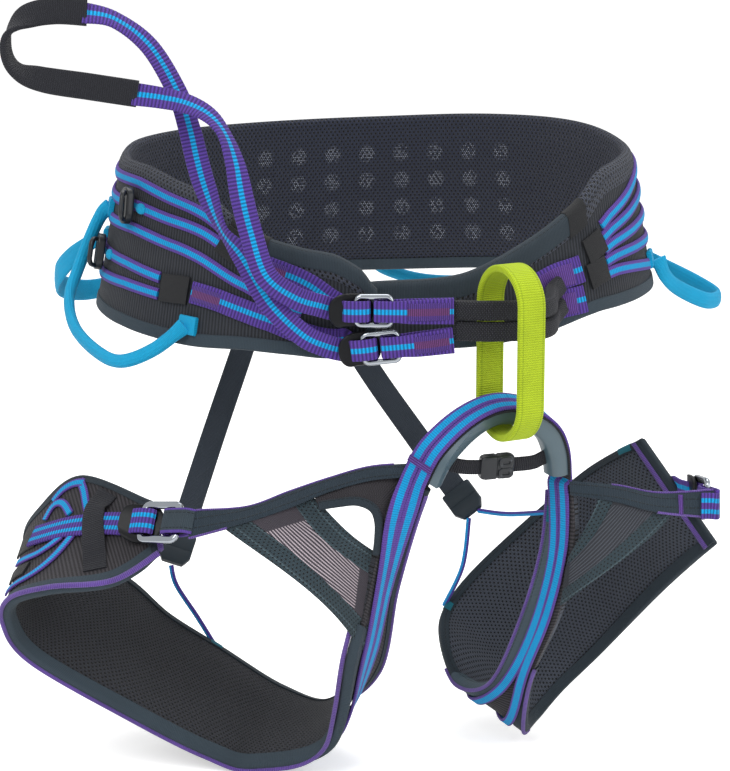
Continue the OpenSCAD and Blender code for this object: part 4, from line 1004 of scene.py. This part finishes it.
# risers with the clips at their ends: rounded sections, pinched where the cords leave
clipSteps = np.array([(-9, 0.95, 0.8), (-8.2, 1, 1), (0.6, 1, 1), (1.2, 0.96, 0.86), (1.8, 1, 1), (5.5, 1, 1),
                      (9.8, 0.74, 0.9), (11, 0.66, 0.7)])  # along, share of width, share of thickness
clips = []
for side, rail in rails.items():
    dress(webbing(side + "Riser", rail["path"], rail["dirs"], riser["width"], riser["thick"]),
          riserCloth, "belt", side + "_riser")
    line = rail["path"][-1] + rail["along"] * clipSteps[:, :1]
    out = np.cross(rail["along"], rail["side"])
    profile = roundRect(riser["clipWidth"], riser["clipThick"], 1.5, flat=3, corner=5)
    clips.append(sweep("clip", line, 0 * line + rail["side"], 0 * line + out,
                       profile[None] * clipSteps[:, None, 1:]))
dress(joined("riserClips", clips), clipFinish, "belt", "riser_clips")

# leg bridge: an arch of double-stripe webbing that runs down each leg, over a black layer and a guard
arch = dict(
    width=16, thick=1.8, parted=9, rib=1.4, ribDepth=0.1, step=0.7, seat=2.0, between=0.05,
    path=fromFront([(20.5, -35.6, -119.7), (29, -38, -102), (44, -34, -87), (60, -29, -78), (75, -24, -76),
                    (90, -18, -81), (101, -12, -92), (106, -7, -107), (107.2, -3.2, -125.4)]),
    dirs=[(-0.79, 0.43, 0.43), (-0.36, 0.86, 0.36), (-0.65, 0.76, 0.06)],
    tack=(0.52, 0.6, 0.68), tackLift=1.3,
    underEnds=(0.1, 7.9), underLift=1.55, underWide=18.0, underThick=1.1)
# stations on the leg and on the arch, two points handed on with the bodies, stations where it parts, shift
# across, share of width
halves = dict(
    left=dict(leg=leftLeg, first=8.3, last=12.8, arch=(0, 4), sign=1,
              bend=((27, -150, -104), (16, -146, -138)), parting=(9.8, 8.4), shift=0.14, grow=1.22),
    right=dict(leg=rightLeg, first=4.5, last=8.9, arch=(8, 4), sign=-1,
               bend=((106, -119, -106), (107, -116, -146)), parting=(6.6, 4.9), shift=0.1, grow=0.8))


def archLine(s):
    c, dirs = curveAt(arch["path"], s), curveAt(arch["dirs"], s / 4)
    return c, *sectionAxes(c, dirs), dirs


# two narrow straps side by side that part below the front:
# share across = middle + shift + side * gap / strip width
for side, half in halves.items():
    leg, first, last, sign = half["leg"], half["first"], half["last"], half["sign"]
    s = np.linspace(first, last, 22)
    stations = np.linspace(*half["arch"], 13)
    way = legWay(leg, s)
    broad = 1 + (half["grow"] - 1) * smooth((last - s) / 1.2)
    start, end = half["parting"]
    gap = arch["width"] / 4 * broad + arch["between"] + arch["parted"] * smooth((start - s) / (start - end))
    middle = 0.5 + half["shift"] * np.sin(np.pi * (s - first) / (last - first))
    top, archAcross, _, archDirs = archLine(stations)
    wide = np.concatenate([broad, 0 * stations + 1]) * arch["width"] / 2
    dirs = np.concatenate([sign * unit(way), archDirs])
    pair = []
    for k in (-1, 1):
        onLeg = legPoint(leg, s, middle + k * gap / np.linalg.norm(way, axis=1), arch["seat"] + 0 * s)
        rows = np.concatenate([onLeg, top + k * sign * (arch["width"] / 4 + arch["between"]) * archAcross])
        pair.append(webbing("half", rows, dirs, wide, arch["thick"],
                            arch["rib"], arch["ribDepth"], arch["step"]))
    dress(joined(side + "LegWebbing", pair), halfStripe, ("belt", side + "_leg", *inMetres(*half["bend"])),
          side + "_leg_webbing", "bridge_webbing")
line, across, out, dirs = archLine(np.array(arch["tack"]))
dress(webbing("archTack", line + arch["tackLift"] * out, dirs, arch["width"] + 0.6, tack["thick"]),
      purpleTack, ("belt", "left_leg", *inMetres(*halves["left"]["bend"])))
line, across, out, _ = archLine(evenStations(arch["path"], 60, *arch["underEnds"]))
dress(sweep("archUnderLayer", line - out * arch["underLift"], across, -out,
            roundRect(arch["underWide"], arch["underThick"], 0.45)), blackCloth, "belt")

# guard: flat against the webbing, rounded inwards, thickest at its middle; its left foot stands out on the
# front side of the webbing
guard = dict(width=15, thick=12.5, foot=0.75, ends=(0.2, 7.7), lift=1.3, leanTo=0.5, aside=6.5, more=2.5)
s = evenStations(arch["path"], 70, *guard["ends"])
line, across, out, _ = archLine(s)
t = (s - s[0]) / (s[-1] - s[0])
lean = smooth((guard["leanTo"] - t) / guard["leanTo"])
full = guard["thick"] * (guard["foot"] + (1 - guard["foot"]) * np.sin(np.pi * t)) + guard["more"] * lean
a = np.linspace(0, np.pi, 17)
below = np.stack([np.sign(np.cos(a)) * np.abs(np.cos(a)) ** 0.6, np.sin(a) ** 0.75], 1)
ring = np.concatenate([below, np.stack([np.linspace(-1, 1, 9)[1:-1], np.zeros(7)], 1)])
profile = ring[None] * np.stack([np.full(len(s), guard["width"] / 2), full], 1)[:, None] + (0, guard["lift"])
piece = sweep("bridgeGuard", line - across * guard["aside"] * lean[:, None], across, -out, profile, sharp=60)
dress(piece, rubberFinish, "belt", "bridge_protector")

# spreader strap across the legs, and the small buckle that slides on it, with two raised rings on its face
spreader = dict(
    width=9, thick=1.8, rib=1.2, ribDepth=0.1, up=np.array([0, -0.2, 1]), at=2.5, wall=2, room=1.2,
    path=fromFront([(37.6, -33.1, -108.8), (47, -31, -112.5), (60, -26.5, -114), (76, -21, -114),
                    (89, -15.5, -114), (95.5, -12.2, -112), (101, -9.5, -110.5)]),
    steps=[(-10, 0.86, 0.62), (-9, 0.95, 0.85), (-7, 1, 1), (-1, 1, 1), (-0.4, 0.95, 0.86), (0.4, 0.95, 0.86),
           (1, 1, 1), (7, 1, 1), (9, 0.95, 0.85), (10, 0.86, 0.62)],
    rings=[(4.6, -3.3), (4.6, 3.3)], ring=(6.6, 4.2), ringBar=(1.6, 2.4, 0.6), ringRise=0.5)
dress(webbing("spreaderStrap", spreader["path"], spreader["up"], spreader["width"], spreader["thick"],
              spreader["rib"], spreader["ribDepth"]), blackCloth, "belt", "spreader_strap")
before, middle, after = curveAt(spreader["path"], spreader["at"] + np.array([-0.02, 0, 0.02]))
ahead = unit(after - before)
steps = np.array(spreader["steps"])
line = middle + ahead * steps[:, :1]
across, out = sectionAxes(line, spreader["up"])
room = 2 * spreader["wall"] + spreader["room"]
profile = roundRect(spreader["width"] + room, spreader["thick"] + room, 1.4, flat=3, corner=5)
pieces = [sweep("buckle", line, across, out, profile[None] * steps[:, None, 1:])]
axes = np.array([ahead, across[0], out[0] * np.sign(-out[0, 1])])
for place in spreader["rings"]:
    outline = roundRect(*spreader["ring"], 1.4, flat=3, corner=5) + place
    pieces.append(barLoop("buckle", outline, 2, middle, axes,
                          roundRect(*spreader["ringBar"], flat=1, corner=3),
                          spreader["thick"] / 2 + spreader["wall"] + spreader["ringRise"]))
dress(joined("spreaderBuckle", pieces), plasticFinish, "spreader_buckle", "spreader_buckle")
print("risers, bridge and spreader ready")


# leg loops: columns of (share across, distance outside) carried along a leg's strip
def legWidth(leg, s):
    return np.linalg.norm(legWay(leg, s), axis=-1)


def legLoft(name, leg, s, v, n):
    grid = legPoint(leg, s[:, None], v, n)
    run = runOf(legPoint(leg, s, 0.5, 0 * s))
    v = np.broadcast_to(v, grid.shape[:2])
    wide = np.concatenate([v, v[:, :1]], 1) * legWidth(leg, s)[:, None]
    return gridPiece(name, grid, runUv(run, wide), sharp=50)


def legStations(leg, step, first=0.0, last=None):
    middle = (leg["far"] + leg["near"]) / 2
    length = runOf(curveAt(middle, np.linspace(first, len(middle) - 1 if last is None else last, 300)))[-1]
    return evenStations(middle, int(length / step), first, last)


# the pad thins out to its two ends
padEnd = dict(share=0.3, run=16)


def padThickness(leg, s):
    fine = np.linspace(0, len(leg["far"]) - 1, 400)
    run = runOf(legPoint(leg, fine, 0.5, 0 * fine))
    at = np.interp(s, fine, run)
    full = smooth(np.minimum(at, run[-1] - at) / padEnd["run"])
    return leg["lining"] * (padEnd["share"] + (1 - padEnd["share"]) * full)[:, None]


def legBinding(name, leg, near, wide, first=0.0, last=None, lift=0.0):
    s = legStations(leg, 2.5 if lift == 0 else 0.8, first, last)
    girth = legWidth(leg, s)[:, None]
    reach = np.minimum(wide, girth * 0.3) / girth
    pad = padThickness(leg, s) * crown(fold["lap"] * reach, belt["liningEdge"])
    off, n = foldOver(reach, fold["legFace"] + lift,
                      leg["shell"] + belt["gap"] + pad + fold["legSkin"] + lift,
                      (fold["legBulge"] + lift) / girth, fold["legInner"])
    return legLoft(name, leg, s, 1 - off if near else off, n)


# roll along an edge, off it by so much and n outside; turned inwards between two stations where that is given
def legPiping(leg, near, n, off, wide, thick, first=0.0, last=None, inward=(98, 99, 0)):
    s = legStations(leg, 1.2, first, last)
    share = off / legWidth(leg, s)
    start, end, deep = inward
    line = legPoint(leg, s, 1 + share if near else -share, n - deep * smooth((s - start) / (end - start)))
    return sweep("piping", line, *sectionAxes(line, legWay(leg, s)), oval(wide, thick, 14), ring=True)


# a section carried over the cut end of a leg's strip, so far ahead of its edge and outside its face
def legEnd(name, leg, ahead, outside, section, ring=False):
    v = np.linspace(0.0, 1.0, 60)
    face = legPoint(leg, 0 * v, v, 0 * v)
    along = unit(legPoint(leg, 0 * v + 0.02, v, 0 * v) - face)
    normal = legPoint(leg, 0 * v, v, 1 + 0 * v) - face
    return sweep(name, face + along * ahead + normal * outside, along, normal, section, ring=ring)


meshLook = dict(weave=(1.1, 0.3, 1.1, 0.3), holes=(2.9, 2.0, 0.66, 0.97, 999), relief=0.8)
legMesh = cloth("legMesh", "mesh_lining", "#2f3138", **meshLook)
# lighter copy of the leg mesh for the right leg: painted light that lifts its lining out of the shade it lies
# in
litRightMesh = cloth("rightLegMeshPaintedLight", "mesh_lining", "#484e5a", **meshLook)
legShell = cloth("legShell", "shell_fabric", "#343236", (2.4, 1.05, 0.7, 0.15), relief=0.45)
# piping: distances outside and off the edge, width and thickness of the roll, first and last stations;
# end piping: ahead, outside; front binding: width, first and last station, lift
legTrim = dict(
    columns=np.linspace(0.01, 0.99, 16), step=3.0, farWide=6.0, tackWide=4.5, tackReach=0.1, tackLift=0.35,
    end=(2.3, -2.0, roundRect(7.0, 5.6, 2.0, flat=3, corner=5)), endRoll=oval(3.6, 3.0, 14),
    nearSeat=(0.6, 0.6), farRoll=(0.5, 1.0, 2.4, 2.4), frontBinding=(8.5, 4.8, 8.7, 0.3),
    left=dict(leg=leftLeg, mesh=legMesh, nearCloth=tealCloth, near=(7.5, 0.0, 10.35), roll=(3.8, 2.8),
              nearPiping=(0.0, 10.35, (8.4, 9.4, 8.0)), farPiping=(9.4, 12.8), endPiping=(-1.6, 0.3),
              cordTacks=[6.9]),
    right=dict(leg=rightLeg, mesh=litRightMesh, nearCloth=darkTeal, near=(7.5, 0.0, 6.2), roll=(2.6, 2.4),
               nearPiping=(4.4, 6.2), farPiping=(4.6, 8.7), endPiping=(5.4, -4.5),
               cordTacks=[8.4, 3.0, 0.35]))
share = legTrim["columns"]
v = np.concatenate([share, share[::-1]])[None]
for side in ("left", "right"):
    body, trim = side + "_leg", legTrim[side]
    leg = trim["leg"]
    s = legStations(leg, legTrim["step"])
    dress(legLoft(side + "LegShell", leg, s, v, np.repeat([0, -leg["shell"]], len(share))[None]),
          legShell, body, side + "_leg_shell")
    inside = -(leg["shell"] + belt["gap"] + padThickness(leg, s) * crown(share, belt["liningEdge"]))
    back = 0 * inside - leg["shell"] - belt["behind"]
    pad = legLoft(side + "LegLining", leg, s, v, np.concatenate([inside, back], 1))
    dress(pad, trim["mesh"], body, side + "_leg_lining")
    dress(legBinding(side + "LegNearBinding", leg, True, *trim["near"]), trim["nearCloth"], body)
    dress(legBinding(side + "LegFarBinding", leg, False, legTrim["farWide"]), darkTeal, body)
    dress(legEnd(side + "LegEnd", leg, *legTrim["end"]), darkTeal, body)
    trims = [legPiping(leg, True, *legTrim["nearSeat"], *trim["roll"], *trim["nearPiping"]),
             legPiping(leg, False, *legTrim["farRoll"], *trim["farPiping"]),
             legEnd("piping", leg, *trim["endPiping"], legTrim["endRoll"], ring=True)]
    dress(joined(side + "LegPiping", trims), pipingCloth, body)
    reach = legTrim["tackReach"]
    pieces = [legBinding("tack", leg, False, legTrim["tackWide"], at - reach, at + reach, legTrim["tackLift"])
              for at in trim["cordTacks"]]
    dress(joined(side + "CordTacks", pieces), tealTack, body)
# broader teal binding in front of the right leg's webbing
frontBinding = legBinding("rightLegFrontBinding", rightLeg, False, *legTrim["frontBinding"])
dress(frontBinding, paleTeal, "right_leg")


# cubic that passes nearest to rows of points
def fairLine(rows, n=24):
    t = np.linspace(0, 1, len(rows))
    return np.stack([np.polyval(np.polyfit(t, q, 3), np.linspace(0, 1, n)) for q in fromFront(rows).T], 1)


# sheet between two edge lines, out of its face by half a thickness each way, thin at its edges
def edgeSheet(name, up, low, thick, lift=0.0, columns=9, step=1.2):
    s = evenStations(up, int(runOf(up)[-1] / step))
    a, b = curveAt(up, s), curveAt(low, s)
    normal = unit(np.cross(np.gradient((a + b) / 2, axis=0), b - a))
    v = np.linspace(0, 1, columns)
    full = 1 - 0.75 * np.abs(np.linspace(-1, 1, columns)) ** 10
    v = np.concatenate([v, v[::-1]])
    n = np.concatenate([full, -full[::-1]]) * thick / 2 + lift
    grid = a[:, None] + (b - a)[:, None] * v[:, None] + normal[:, None] * n[:, None]
    wide = np.linalg.norm(b - a, axis=1)[:, None] * (np.concatenate([v, v[:1]]) - 0.5)
    return gridPiece(name, grid, runUv(runOf((a + b) / 2), wide))


# strip that lies on a leg along rows of (station, share across), its width square to its run and its normal
def legStrip(name, leg, path, w, t, n, rib=0.0):
    path = np.column_stack([path, np.broadcast_to(n, len(path))])
    q = curveAt(path, np.linspace(0, len(path) - 1, 12 * len(path))).T
    line = legPoint(leg, *q)
    normal = legPoint(leg, q[0], q[1], q[2] + 1) - line
    return webbing(name, line, np.cross(normal, np.gradient(line, axis=0)), w, t, rib)


# pale cords along a dark stretch mesh, left plain near its two sewn ends
def paleCords(first, last, code):
    def paint(along, across, colour):
        inside = times(ramp(along, first * mm, (first + 1) * mm), ramp(along, last * mm, (last - 1) * mm))
        return mixed(times(ramp(beat(across, 1.8 * mm), 0.26, 0.14), inside), colour, tint(code))
    return paint


ribbedStretch = cloth("ribbedStretch", "stretch_panel", "#2b292d", (1.3, 0.3, 1.8, 0.6), relief=0.4)
stretchWeave = (1.0, 0.15, 1.8, 0.5)
leftStretch = cloth("leftStretchPanel", "stretch_panel", "#3c383f", stretchWeave, relief=0.3,
                    extra=paleCords(13, 70, "#b0a4ab"))
rightStretch = cloth("rightStretchPanel", "stretch_panel", "#2b2d33", stretchWeave, relief=0.3,
                     extra=paleCords(4, 60, "#474b53"))
# band: upper and lower edge, and the stations where these are piped; edge lines from the band down to the leg
# webbing: lower strip, panel, upper strip
fronts = dict(
    bandThick=2.4, panelThick=1.2, stripThick=1.5, tuck=0.2, piping=oval(1.4, 2.0, 10),
    left=dict(lift=-0.9, stretch=leftStretch, pipedUp=(0.5, 6), pipedLow=(4.4, 6),
              bandUp=[(20, -30, -111), (-4, -26, -114), (-27, -24, -121), (-50, -24, -129), (-74, -28, -137),
                      (-101, -35.5, -137), (-107, -37, -137.5)],
              bandLow=[(14, -32, -119), (-4, -31, -121), (-27, -29, -128), (-50, -31, -137), (-74, -36, -144),
                       (-101, -43, -150), (-107, -44.5, -151)],
              edges=[[(-92, -36.5, -143), (-74, -41, -157), (-55, -42, -169), (-37, -40, -185),
                      (-21, -34, -205), (-9, -23, -226)],
                     [(-73, -32, -140), (-55, -37, -152), (-37, -39, -167), (-21, -36, -184),
                      (-2, -25, -207)],
                     [(-49.5, -28, -137.5), (-39, -34.5, -151), (-25, -37, -163), (0, -29, -184)],
                     [(-36, -27, -132), (-23, -34, -144), (-12, -36, -154), (4, -28, -167)]]),
    right=dict(lift=0.9, stretch=rightStretch, pipedUp=(0.9, 3), pipedLow=(2.0, 3),
               bandUp=[(111, -9, -126.5), (139, -4, -130.5), (164, 0, -136), (197, 7, -136)],
               bandLow=[(112, -9.8, -135), (138, -10, -139), (163, -7, -146), (197, 4, -152)],
               edges=[[(176, 0, -145), (162, -6, -159), (147, -12, -170), (127, -14, -185), (107, -7, -203)],
                      [(164, -4, -141), (151, -9, -152), (139, -13, -162), (125, -15, -175), (109, -9, -189)],
                      [(140, -9, -138), (134, -12, -147), (130, -14, -155), (121, -14, -166),
                       (110, -10, -179)],
                      [(128, -10, -136), (125, -12, -145), (121, -13, -153), (116, -13, -162),
                       (111, -10, -172)]]))
# leg buckles: place, axes, run of the fold and its cloth
legBuckle = dict(width=26, height=24, rod=4.6, web=15, plateBend=(15, 24, 5.8), plate=26, stand=8.0,
                 foldBend=2.6, slack=4.5, foldRib=1.2, foldDepth=0.05,
                 tack=[(-5, -1.1, 0), (-3, -1.1, 0), (-1, -1.1, 0)], tackWide=12.5)
at = legPoint(leftLeg, 0.0, 0.5, legBuckle["stand"])
middle = (leftLeg["far"] + leftLeg["near"]) / 2
ahead = -unit(curveAt(middle, 0.02) - curveAt(middle, 0.0))
outwards = legPoint(leftLeg, 0.0, 0.5, 1.0) - legPoint(leftLeg, 0.0, 0.5, 0.0)
legBuckles = dict(left=(at + ahead * legBuckle["stand"], facing(ahead, outwards), 22.5, foldCloth),
                  right=(fromFront((193, 32, -147)), facing((0.18, -0.97, 0.13), (0.95, 0.15, -0.1)), 27,
                         legStrapCloth))
for side in ("left", "right"):
    body, front = side + "_leg", fronts[side]
    up, low = fromFront(front["bandUp"]), fromFront(front["bandLow"])
    dress(edgeSheet(side + "LegBand", up, low, fronts["bandThick"]), tealEdge, body, side + "_leg_band")
    trims = []
    for edge, other, piped in ((up, low, front["pipedUp"]), (low, up, front["pipedLow"])):
        s = evenStations(edge, 90, *piped)
        line = curveAt(edge, s)
        axes = sectionAxes(line, line - curveAt(other, s))
        trims.append(sweep("piping", line, *axes, fronts["piping"], ring=True))
    dress(joined(side + "BandPiping", trims), pipingCloth, body)
    lines = [fairLine(rows) for rows in front["edges"]]
    # the panel's sides lie behind the strips
    under = [lines[k] + (lines[j] - lines[k]) * fronts["tuck"] for k, j in ((1, 0), (2, 3))]
    dress(edgeSheet(side + "LegPanel", *under, fronts["panelThick"]),
          front["stretch"], body, side + "_leg_panel")
    strips = [edgeSheet("strip", lines[k], lines[k + 1], fronts["stripThick"], front["lift"]) for k in (0, 2)]
    dress(joined(side + "LegStrips", strips), dottedCloth, body, side + "_leg_strips")
    at, axes, run, foldFinish = legBuckles[side]
    buckleSet(side + "LegBuckle", side + "_leg_buckle", at, axes,
              legBuckle, legBuckle["plate"], legStrapCloth)
    rows = anchorRows(legBuckle["width"], run, legBuckle["foldBend"], legBuckle["slack"])
    dress(webbing(side + "LegFold", placed(rows, at, axes), axes[2], legBuckle["web"], strap["thick"],
                  legBuckle["foldRib"], legBuckle["foldDepth"]), foldFinish, body, slot=tealSlot)
    sewn = placed(rows[0] + np.array(legBuckle["tack"]), at, axes)
    dress(webbing(side + "FoldTack", sewn, axes[2], legBuckle["tackWide"], tack["thick"]), purpleTack, body)

# the fold's webbing wraps the end of the right band, behind a bar tack
wrap = dict(width=15.4, up=(0, 0.2, 0.98), tackWide=11.5, tackUp=(0, 0.34, 0.94),
            rows=[(199.8, 14, -146.2), (200.4, 8.5, -145.9), (198.8, 4, -145.4), (195, 2.2, -144.6),
                  (189.5, 0.8, -144.2)],
            tack=[(175.8, -2.0, -142.6), (177, -1.7, -142.7), (178.2, -1.4, -142.8)])
dress(webbing("rightBandWrap", fromFront(wrap["rows"]), wrap["up"], wrap["width"], strap["thick"],
              strap["rib"]), legStrapCloth, "right_leg")
dress(webbing("rightBandTack", fromFront(wrap["tack"]), wrap["tackUp"], wrap["tackWide"], tack["thick"]),
      purpleTack, "right_leg")

# window between band, upper strip and webbing on the left leg: ribbed cloth with a bound edge
window = dict(thick=1.2, bound=(5.4, 3.0, 1.4), boundIn=2.0,
              hole=[(-33, -33, -137), (-22, -34, -135), (-12, -35, -134), (-4, -36, -137), (-1, -36.5, -144),
                    (-1, -37, -154), (-2, -37, -163)],
              outer=[(-36, -27, -131), (-24, -26.5, -127), (-10, -28, -122), (13, -28, -120), (13, -28, -134),
                     (11, -27, -150), (8, -26, -167)])
hole, outer = fromFront(window["hole"]), fromFront(window["outer"])
dress(edgeSheet("leftWindowCloth", hole, outer, window["thick"]), ribbedStretch, "left_leg")
s = evenStations(hole, 70)
line = curveAt(hole, s)
across, out = sectionAxes(line, curveAt(outer, s) - line)
dress(sweep("leftWindowBinding", line + across * window["boundIn"], across, out,
            roundRect(*window["bound"], flat=3, corner=4)), darkTeal, "left_leg")

# adjusting straps, keepers, narrow bands and plain tabs on the flaps, by rows of station and share across;
# a keeper's rows end with its distance outside
flap = dict(
    strapWide=15, strapRib=2.0, strapSeat=2.0, bandWide=5.4, bandThick=1.3, bandSeat=0.9, bandRise=0.15,
    tabThick=1.4, keeperThick=1.2, keeperRib=1.6,
    strap=[(0.42, 0.5), (1.05, 0.485), (1.6, 0.42), (2.2, 0.33)],
    tabs=[(10, 1.0, [(2.45, 0.69), (2.75, 0.67), (3.1, 0.66)]),
          (17, 0.8, [(2.05, 0.35), (2.4, 0.31), (2.75, 0.27)])],
    leftBands=[[(1.07, 0.42), (1.05, 0.28), (1.02, 0.15), (1.03, 0.05)],
               [(0.98, 0.075), (1.15, 0.065), (1.4, 0.07), (1.6, 0.1)],
               [(1.36, 0.32), (1.42, 0.2), (1.54, 0.15), (1.68, 0.16), (1.85, 0.22)],
               [(1.36, 0.5), (1.7, 0.64), (2.0, 0.74), (2.4, 0.82), (2.8, 0.85), (3.2, 0.86)],
               [(1.6, 0.5), (1.9, 0.55), (2.23, 0.57), (2.8, 0.53)]],
    leftKeeper=[(0.66, 0.13, 0.7), (0.76, 0.23, 1.0), (0.9, 0.35, 3.2), (1.01, 0.5, 3.8), (1.1, 0.66, 3.2),
                (1.18, 0.8, 1.0), (1.22, 0.88, 0.7)], leftKeeperWide=(17, 15.5, 14.5, 14.0, 14.0, 14.0, 14.0),
    rightStrapSeat=1.5, rightStrap=[(0.05, 0.46), (0.5, 0.42), (1, 0.4), (1.5, 0.4)],
    rightLead=[(-12, 3.4, 0), (-20, 3.6, 0), (-27, 4.2, 0)],  # from the buckle to the flap
    rightBands=[[(0.95, 0.12), (0.7, 0.13), (0.5, 0.2), (0.34, 0.34)],
                [(0.36, 0.52), (0.6, 0.66), (0.95, 0.76), (1.4, 0.8)]],
    rightKeeper=[(0.5, 0.1, 0.7), (0.5, 0.2, 0.9), (0.5, 0.31, 2.6), (0.5, 0.42, 3.4), (0.51, 0.53, 2.6),
                 (0.53, 0.64, 0.9), (0.56, 0.78, 0.7)], rightKeeperWide=14)
dress(legStrip("leftLegStrap", leftLeg, flap["strap"], flap["strapWide"], strap["thick"],
               flap["strapSeat"], flap["strapRib"]), legStrapCloth, "left_leg", "left_leg_strap")
at, axes = legBuckles["right"][:2]
s, v = np.array(flap["rightStrap"]).T
onFlap = legWay(rightLeg, s)
rows = np.concatenate([placed(flap["rightLead"], at, axes),
                       legPoint(rightLeg, s, v, flap["rightStrapSeat"] + 0 * s)])
dirs = np.concatenate([np.repeat(axes[2:] * np.sign(axes[2] @ onFlap[0]), len(flap["rightLead"]), 0),
                       unit(onFlap)])
dress(webbing("rightLegStrap", rows, dirs, flap["strapWide"], strap["thick"], flap["strapRib"]),
      legStrapCloth, "right_leg", "right_leg_strap")
for side, leg, rise, nodes in (("right", rightLeg, 0, ()),
                               ("left", leftLeg, flap["bandRise"], ["left_leg_keeper"])):
    bands = [legStrip("band", leg, path, flap["bandWide"], flap["bandThick"], flap["bandSeat"] + rise * k)
             for k, path in enumerate(flap[side + "Bands"])]
    dress(joined(side + "FlapBands", bands), bandCloth, side + "_leg")
    keeper = np.array(flap[side + "Keeper"])
    dress(legStrip(side + "LegKeeper", leg, keeper[:, :2], flap[side + "KeeperWide"], flap["keeperThick"],
                   keeper[:, 2], flap["keeperRib"]), blackCloth, side + "_leg", *nodes)
flapTabs = [legStrip("tab", leftLeg, path, wide, flap["tabThick"], seat) for wide, seat, path in flap["tabs"]]
dress(joined("leftFlapTabs", flapTabs), tabCloth, "left_leg")
print("leg loops ready")
